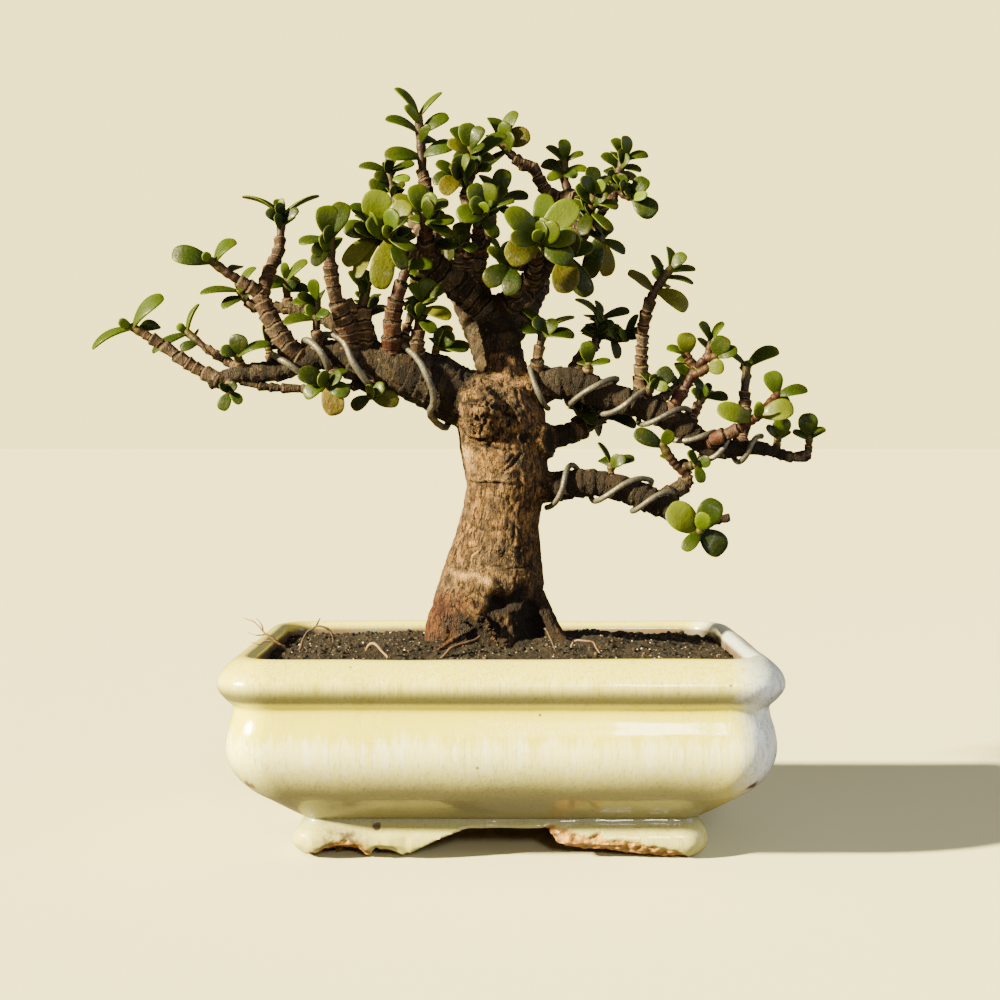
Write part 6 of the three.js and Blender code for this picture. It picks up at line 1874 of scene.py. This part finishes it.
@dataclass
class Wire:
    """A training wire wound round a limb.

    Attributes:
        limb: The limb's route.
        radius: The wire's radius, in millimetres.
        turns: Where it crosses the limb's sides, as x and angle.
        lift: How far it stands off the limb, in millimetres.
        steps: Stations in a quarter turn.
    """

    name: str
    limb: Route
    radius: float
    turns: Route
    lift: float = 0.55
    steps: int = 7
    sides: int = 12

    def stations(self) -> list[Station]:
        """The wire's route on the limb's surface."""
        centre = smoothed(self.limb, 11)
        drawn = np.array(self.turns)
        at = np.arange((len(drawn) - 1) * self.steps + 1) / self.steps
        x, turn = (np.interp(at, np.arange(len(drawn)), column) for column in drawn.T)
        x[1:-1] = (x[:-2] + x[1:-1] + x[2:]) / 3
        return framed([self.place(centre, *point) for point in zip(x.tolist(), turn.tolist())])

    def place(self, centre: list[Station], x: float, turn: float) -> Station:
        """A station of the wire.

        Args:
            centre: The limb's stations.
            x: Place along the limb, on the front elevation in millimetres.
            turn: Angle round the limb, in degrees, with 0 in front and 90 on top.

        Returns:
            The station, without its frame.
        """
        k = min(range(1, len(centre) - 1), key=lambda i: abs(self.elevation_x(centre[i].at) - x))
        past = (self.elevation_x(centre[k].at) - x) * (centre[k + 1].at.x - centre[k].at.x)
        low = k if past < 0 else k - 1
        start, end = self.elevation_x(centre[low].at), self.elevation_x(centre[low + 1].at)
        share = min(max((x - start) / (end - start or 1), 0), 1)
        at = centre[low].at.lerp(centre[low + 1].at, share)
        radius = centre[low].radius + (centre[low + 1].radius - centre[low].radius) * share
        along = centre[low].along.lerp(centre[low + 1].along, share).normalized()
        front = (Vector((0, -1, 0)) + along * along.y).normalized()
        up = front.cross(along)
        if up.z < 0:
            up.negate()
        reach = radius + (self.radius + self.lift) * MM
        angle = math.radians(turn)
        at += front * (math.cos(angle) * reach) + up * (math.sin(angle) * reach)
        return Station(at, self.radius * MM)

    @staticmethod
    def elevation_x(at: Vector) -> float:
        """A point's x on the front elevation, in millimetres."""
        drawn = (at - POT_CENTRE) / MM
        return drawn.x / ((drawn.y - EYE.y) / -EYE.y)

    def build(self, palette: Palette) -> Object:
        """Makes the wire, with snipped ends."""
        bm = bmesh.new()
        absorb(bm, sweep(self.stations(), self.sides))
        for vert in bm.verts:
            vert.co += noise.noise_vector(vert.co / 0.02) * 0.00012
        wire = make_object(f"{self.name}_wound", bm)
        wire.data.materials.append(palette.get(DullMetal()))
        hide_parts(self.name)
        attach(wire, BODY)
        return wire


# ---- Leaves ----


@dataclass
class Blade:
    """One leaf, as it is drawn or set by rule.

    Attributes:
        base: Where it leaves the stem, in metres.
        tip: Its tip, in metres.
        width: Its width, in metres.
        turn: How far its face is rolled up from facing front, in degrees.
        tone: Its colour and age.
    """

    base: Vector
    tip: Vector
    width: float
    turn: float
    tone: Tone


@dataclass
class LeafShape:
    """The form that every leaf is bent from: a fleshy paddle with a broad foot and a round tip.

    Attributes:
        outline: Its sections, as share of the length, half width and half thickness.
        sides: Points round each section.
    """

    outline: Route = field(default_factory=lambda: rows(
        "0 0.3 0.6, 0.1 0.42 0.8, 0.28 0.74 0.95, 0.49 0.96 1, 0.7 1 0.95, 0.87 0.8 0.8, 0.975 0.42 0.5"))
    sides: int = 8

    def make(self) -> Mesh:
        """The plain leaf: x along from 0 to 1, y across and z through it, both from -1 to 1."""
        quarter = Matrix.Rotation(math.pi / 2, 4, "Y")
        bm = lofted([Matrix.Translation((share, 0, 0)) @ Matrix.Diagonal((1, wide, thick, 1)) @ quarter
                     for share, wide, thick in self.outline], self.sides)
        layer = bm.loops.layers.uv.new("blade")
        for face in bm.faces:
            for loop in face.loops:
                share = loop.vert.co.x
                wide = np.interp(share, *zip(*(row[:2] for row in self.outline)))
                loop[layer].uv = (loop.vert.co.y / wide * 0.5 + 0.5, share)
        return to_mesh(bm, "leaf")


@dataclass
class Foliage:
    """All the leafy shoots, one piece for each.

    Attributes:
        fleshy: Thickness of a leaf as a share of its width.
        thin: Least thickness, in millimetres.
        thick: Most thickness, in millimetres.
        full: How much fuller a leaf is than its drawn width.
        small: Size of the leaves between the drawn ones, as a share of theirs.
        crowded: How many drawn leaves make a shoot a crowded one.
        plump: How much thicker a young stem is than it was drawn.
        stout: Its greatest radius, in millimetres.
        fresh: How far back from its end a stem is green, in millimetres.
        ruddy: Least redness of a stem.
        sunk: How deep a stem starts in its twig, in millimetres.
        pair_first: Share of the stem where the first pair set by rule sits; pair_last, the last.
        pair_shrink: How much smaller each pair is; pair_rise and pair_lift, how steeply they stand.
        pair_start: The first pair's angle round the stem; pair_roll, how its leaves are rolled.
        shape: The form of a leaf.
    """

    fleshy: float = 0.36
    thin: float = 2.0
    thick: float = 3.2
    full: float = 1.25
    small: float = 0.78
    crowded: int = 6
    plump: float = 1.8
    stout: float = 2.3
    fresh: float = 9.0
    ruddy: float = 0.2
    sunk: float = 1.2
    pair_first: float = 0.45
    pair_last: float = 0.95
    pair_shrink: float = 0.18
    pair_rise: float = 0.25
    pair_lift: float = 0.3
    pair_start: float = 0.6
    pair_roll: float = 55
    shape: LeafShape = field(default_factory=LeafShape)

    @staticmethod
    def point_on(stations: list[Station], share: float) -> Vector:
        """The point a share of the way along a stem's drawn points."""
        place = share * (len(stations) - 1)
        low = min(int(place), len(stations) - 2)
        return stations[low].at.lerp(stations[low + 1].at, place - low)

    def stems(self, shoot: Shoot) -> list[list[Station]]:
        """A shoot's young stems at their drawn points, the first from the twig's end."""
        drawn = [[Station(on_sight(*place), min(radius * self.plump, self.stout) * MM)
                  for *place, radius in stem] for stem in routes(shoot.green)]
        *place, radius = rows(shoot.wood)[-1]
        drawn[0].insert(0, Station(on_sight(*place), radius * MM))
        return drawn

    def blades(self, name: str, shoot: Shoot, stems: list[list[Station]]) -> list[Blade]:
        """The shoot's leaves.

        Args:
            name: The shoot's name.
            shoot: Its table.
            stems: Its stems' drawn points.

        Returns:
            Its leaves, drawn and set by rule.
        """
        placed, tones = [], itertools.cycle([TONES[letter] for letter in shoot.looks])
        if not shoot.whorls:
            for at, x, y, z, width, turn in rows(shoot.blades):
                base = self.point_on(stems[int(at)], at % 1)
                placed.append(Blade(base, on_sight(x, y, z), width * MM, turn, next(tones)))
            return placed + self.between(name, shoot, placed, stems)
        count, length, width = shoot.whorls
        for stations in stems:
            for pair in range(count):
                share = self.pair_first + (self.pair_last - self.pair_first) * pair / max(count - 1, 1)
                size = (1 - self.pair_shrink * pair) * MM
                for side in range(2):
                    turn = (pair / 2 + side) * math.pi + self.pair_start
                    rise = self.pair_rise + self.pair_lift * pair
                    way = Vector((math.cos(turn), math.sin(turn), rise))
                    base = self.point_on(stations, share)
                    tip = base + way.normalized() * length * size
                    placed.append(Blade(base, tip, width * size, self.pair_roll, next(tones)))
        return placed

    def between(self, name: str, shoot: Shoot, placed: list[Blade],
                stems: list[list[Station]]) -> list[Blade]:
        """Smaller leaves that grow towards the front and the back, between the drawn ones.

        Args:
            name: The shoot's name.
            shoot: Its table.
            placed: Its drawn leaves.
            stems: Its stems' drawn points.

        Returns:
            The smaller leaves.
        """
        draw = random.Random(name + " between")
        length = sum((blade.tip - blade.base).length for blade in placed) / len(placed) * self.small
        width = sum(blade.width for blade in placed) / len(placed) * (self.small + 0.1)
        small = []
        shares, sides = ((0.35, 0.85), (-1, 1)) if len(placed) < self.crowded else (
            (0.15, 0.4, 0.65, 0.9), (-1, 1, 1, 1))
        if shoot.alone:
            shares, sides = (0.5,), (1,)
        for stations in stems:
            for share in shares:
                for side in sides:
                    way = Vector((draw.uniform(-0.9, 0.9), side * draw.uniform(0.4, 1),
                                  draw.uniform(0.1, 1)))
                    base = self.point_on(stations, share + draw.uniform(-0.1, 0.1))
                    # Painted shade: the leaves behind take GREEN or DARK, never the sunlit FRESH tone.
                    tone = draw.choice((Tone.GREEN, Tone.DARK) if side > 0
                                       else (Tone.GREEN, Tone.FRESH, Tone.DARK))
                    tip = base + way.normalized() * length * draw.uniform(0.8, 1.15)
                    small.append(Blade(base, tip, width, draw.uniform(20, 60), tone))
        return small

    def bend(self, blade: Blade, plain: ndarray, draw: random.Random) -> ndarray:
        """Bends the plain leaf into its place.

        Args:
            blade: The leaf.
            plain: The plain leaf's vertices.
            draw: Seeded draws for its bow, cup and twist.

        Returns:
            The leaf's vertices, in metres.
        """
        along = blade.tip - blade.base
        length = along.length
        along.normalize()
        front = Vector((0, -1, 0)) + along * along.y
        if front.length_squared < 0.02:
            front = Vector((0, 0, 1)) - along * along.z
        roll = math.radians(blade.turn if along.x < 0 else -blade.turn) + draw.uniform(-0.12, 0.12)
        front = Matrix.Rotation(roll, 3, along) @ front.normalized()
        across = front.cross(along)
        share, side, deep = plain[:, 0], plain[:, 1], plain[:, 2]
        half = blade.width / 2 * self.full
        flesh = min(max(blade.width * self.fleshy, self.thin * MM), self.thick * MM) / 2
        bow = (0.09 + draw.uniform(-0.05, 0.06)) * length * 4 * share * (1 - share)
        cup = draw.uniform(0.06, 0.26) * half * side ** 2
        twist = draw.uniform(-0.28, 0.28) * share
        lean = draw.uniform(-0.05, 0.05) * length * share * (1 - share) * 4
        wither = blade.tone.wrinkle
        waves = np.sin(share * draw.uniform(9, 13) + draw.uniform(0, 6))
        waves *= side * half * 0.2 * wither ** 3
        out = half * side * (1 - 0.07 * wither) + lean
        lens = deep * (1 - 0.3 * side ** 2) * np.where(deep > 0, 0.7, 1.1)
        through = flesh * lens * (1 - 0.25 * wither) + bow + cup + waves
        flat = np.cos(twist) * out - np.sin(twist) * through
        rise = np.sin(twist) * out + np.cos(twist) * through
        places = (np.array(blade.base) + np.outer(share * length, along) + np.outer(flat, across)
                  + np.outer(rise, front))
        crumple = np.stack([wave(places / 0.0032, seed) for seed in (1.0, 5.0, 9.0)], axis=1)
        return places + crumple * (0.00009 + 0.0003 * wither)

    def tint(self, blade: Blade, plain: ndarray, draw: random.Random) -> ndarray:
        """The leaf's colour at each vertex, with its age in the fourth number."""
        base = np.array(linear(blade.tone.shade)) * draw.uniform(0.86, 1.14)
        base = base * np.array([draw.uniform(0.93, 1.08), 1.0, draw.uniform(0.85, 1.1)])
        colours = np.tile([*base, blade.tone.wrinkle], (len(plain), 1))
        yellow = unit((plain[:, 0] - 0.6) * 0.5) * draw.uniform(0, 1)
        colours[:, :3] += yellow[:, None] * np.array([0.09, 0.07, 0.0])
        return colours

    def build_shoot(self, name: str, shoot: Shoot, leaf: Mesh, palette: Palette) -> Object:
        """Makes one shoot: its young stems and its leaves.

        Args:
            name: The CAD node's name.
            shoot: The shoot's table.
            leaf: The plain leaf.
            palette: The finishes.

        Returns:
            The shoot.
        """
        draw = random.Random(name)
        stems = self.stems(shoot)
        bm = bmesh.new()
        plain = vertex_places(leaf).astype(float)
        for blade in self.blades(name, shoot, stems):
            bent = leaf.copy()
            move_vertices(bent, self.bend(blade, plain, draw))
            paint(bent, "tint", self.tint(blade, plain, draw))
            absorb(bm, bent)
        redness = max(shoot.redness, self.ruddy)
        bark, tip = (np.array(linear(old)) * (1 - redness) + np.array(linear(red)) * redness
                     for old, red in (("2C1D14", "280C06"), ("44440F", "40240E")))
        for stations in stems:
            start = stations[0]
            start.at = start.at - (stations[1].at - start.at).normalized() * self.sunk * MM
            rod = sweep(self.smooth_stem(stations), 8)
            reach = np.linalg.norm(vertex_places(rod) - np.array(stations[-1].at), axis=1)[:, None]
            fresh = unit(1 - reach / (self.fresh * MM))
            paint(rod, "tint", np.hstack([bark + (tip - bark) * fresh, fresh]))
            rod.polygons.foreach_set("material_index", [1] * len(rod.polygons))
            absorb(bm, rod)
        piece = make_object(name.replace("leaves_", "shoot_"), bm)
        rounding = piece.modifiers.new("rounding", "SUBSURF")
        rounding.levels = rounding.render_levels = 1
        piece.data.materials.append(palette.get(LeafFinish()))
        piece.data.materials.append(palette.get(YoungStem()))
        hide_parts(name)
        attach(piece, BODY)
        return piece

    @staticmethod
    def smooth_stem(stations: list[Station]) -> list[Station]:
        """Smooths a young stem, and rounds its end.

        Args:
            stations: Its drawn points.

        Returns:
            Stations on a smooth curve through them.
        """
        points, fine = [station.at for station in stations], []
        for low in range(len(points) - 1):
            for step in range(6):
                share = step / 6
                radius = stations[low].radius
                radius += (stations[low + 1].radius - radius) * share
                knob = 1 + 0.16 * math.cos(share * 4 * math.pi)
                fine.append(Station(curve_point(points, low, share), radius * knob))
        end = stations[-1]
        way = (points[-1] - points[-2]).normalized()
        fine.append(Station(end.at, end.radius * 0.95))
        fine.append(Station(end.at + way * end.radius * 0.6, end.radius * 0.6))
        return framed(fine)

    def build(self, palette: Palette) -> list[Object]:
        """Makes every shoot."""
        leaf = self.shape.make()
        shoots = [self.build_shoot("leaves_" + name, shoot, leaf, palette)
                  for name, shoot in SHOOTS.items()]
        bpy.data.meshes.remove(leaf)
        return shoots


# ---- Studio ----


@dataclass
class Studio:
    """The pale floor, the soft lights and the camera.

    Attributes:
        lens: Focal length on a 36 mm sensor, in millimetres.
        down: How far the camera is pitched down, in degrees.
    """

    camera_at: Vector = field(default_factory=lambda: POT_CENTRE + (EYE + Vector((-0.44, 0, 0))) * MM)
    lens: float = 61.2
    down: float = 1.887

    def camera(self) -> None:
        """Sets the camera at eye height before the pot."""
        camera = bpy.data.objects.new("camera", bpy.data.cameras.new("camera"))
        camera.data.lens, camera.data.sensor_width = self.lens, 36.0
        camera.location = self.camera_at
        camera.rotation_euler = (math.radians(90 - self.down), 0, 0)
        bpy.context.scene.collection.objects.link(camera)
        bpy.context.scene.camera = camera

    def lamp(self, name: str, kind: str, at: Vector, strength: float, shade: str,
             spread: float) -> None:
        """Adds a lamp that looks at the tree.

        Args:
            name: The lamp's name.
            kind: AREA or SUN.
            at: Its place, in metres.
            strength: Its power.
            shade: Its colour.
            spread: Side of an area lamp in metres, or angle of a sun in degrees.
        """
        lamp = bpy.data.lights.new(name, kind)
        lamp.energy, lamp.color = strength, linear(shade)
        if kind == "AREA":
            lamp.size = spread
        else:
            lamp.angle = math.radians(spread)
        holder = bpy.data.objects.new(name, lamp)
        holder.location = at
        holder.rotation_euler = (Vector((0, 0, 0.17)) - at).to_track_quat("-Z", "Y").to_euler()
        bpy.context.scene.collection.objects.link(holder)

    def build(self, palette: Palette) -> None:
        """Sets up floor, world, lamps and camera."""
        self.camera()
        bm = bmesh.new()
        bmesh.ops.create_grid(bm, x_segments=1, y_segments=1, size=60.0)
        floor = make_object("floor", bm)
        floor.data.materials.append(palette.get(PaleFloor()))
        self.backdrop()
        self.lamp("key", "SUN", Vector((-1.64, -0.75, 0.95)), 37.0, "FFF3BC", 4.0)
        self.lamp("fill", "AREA", Vector((1.5, -0.55, 0.75)), 12.5, "E0EAFB", 1.0)
        self.lamp("gleam", "AREA", Vector((0.23, -1.48, 0.57)), 9.0, "FFFBEA", 0.18)

    @staticmethod
    def backdrop() -> None:
        """A pale world, seen brighter than it lights."""
        world = bpy.data.worlds.new("studio")
        world.use_nodes = True
        sheet = Sheet(world.node_tree)
        seen = sheet.node("LightPath").outputs["Is Camera Ray"]
        strength = sheet.maths("MULTIPLY_ADD", seen, 2.95, 0.25)
        backdrop = world.node_tree.nodes["Background"]
        sheet.tree.links.new(sheet.mix(seen, "FFF4D6", "FFEC90"), backdrop.inputs[0])
        sheet.tree.links.new(strength, backdrop.inputs[1])
        bpy.context.scene.world = world


# ---- Assembly ----


def main() -> None:
    """Builds the studio and every piece, and logs each piece's face count."""
    logging.basicConfig(level=logging.INFO, format="%(name)s: %(message)s")
    noise.seed_set(NOISE_SEED)
    palette = Palette()
    Studio().build(palette)
    pot = Pot()
    soil = Soil(pot)
    bed = soil.bed(palette)
    pieces = [pot.build(palette), bed, soil.litter(bed, palette), soil.dry_roots(palette)]
    pieces += dress_screens(palette)
    pieces += Wood().build(palette)
    pieces += [Wire(name, *drawn).build(palette) for name, drawn in WIRES.items()]
    pieces += Foliage().build(palette)
    for piece in pieces:
        LOG.info("%s: %d faces", piece.name, len(piece.data.polygons))


if __name__ == "__main__":
    main()
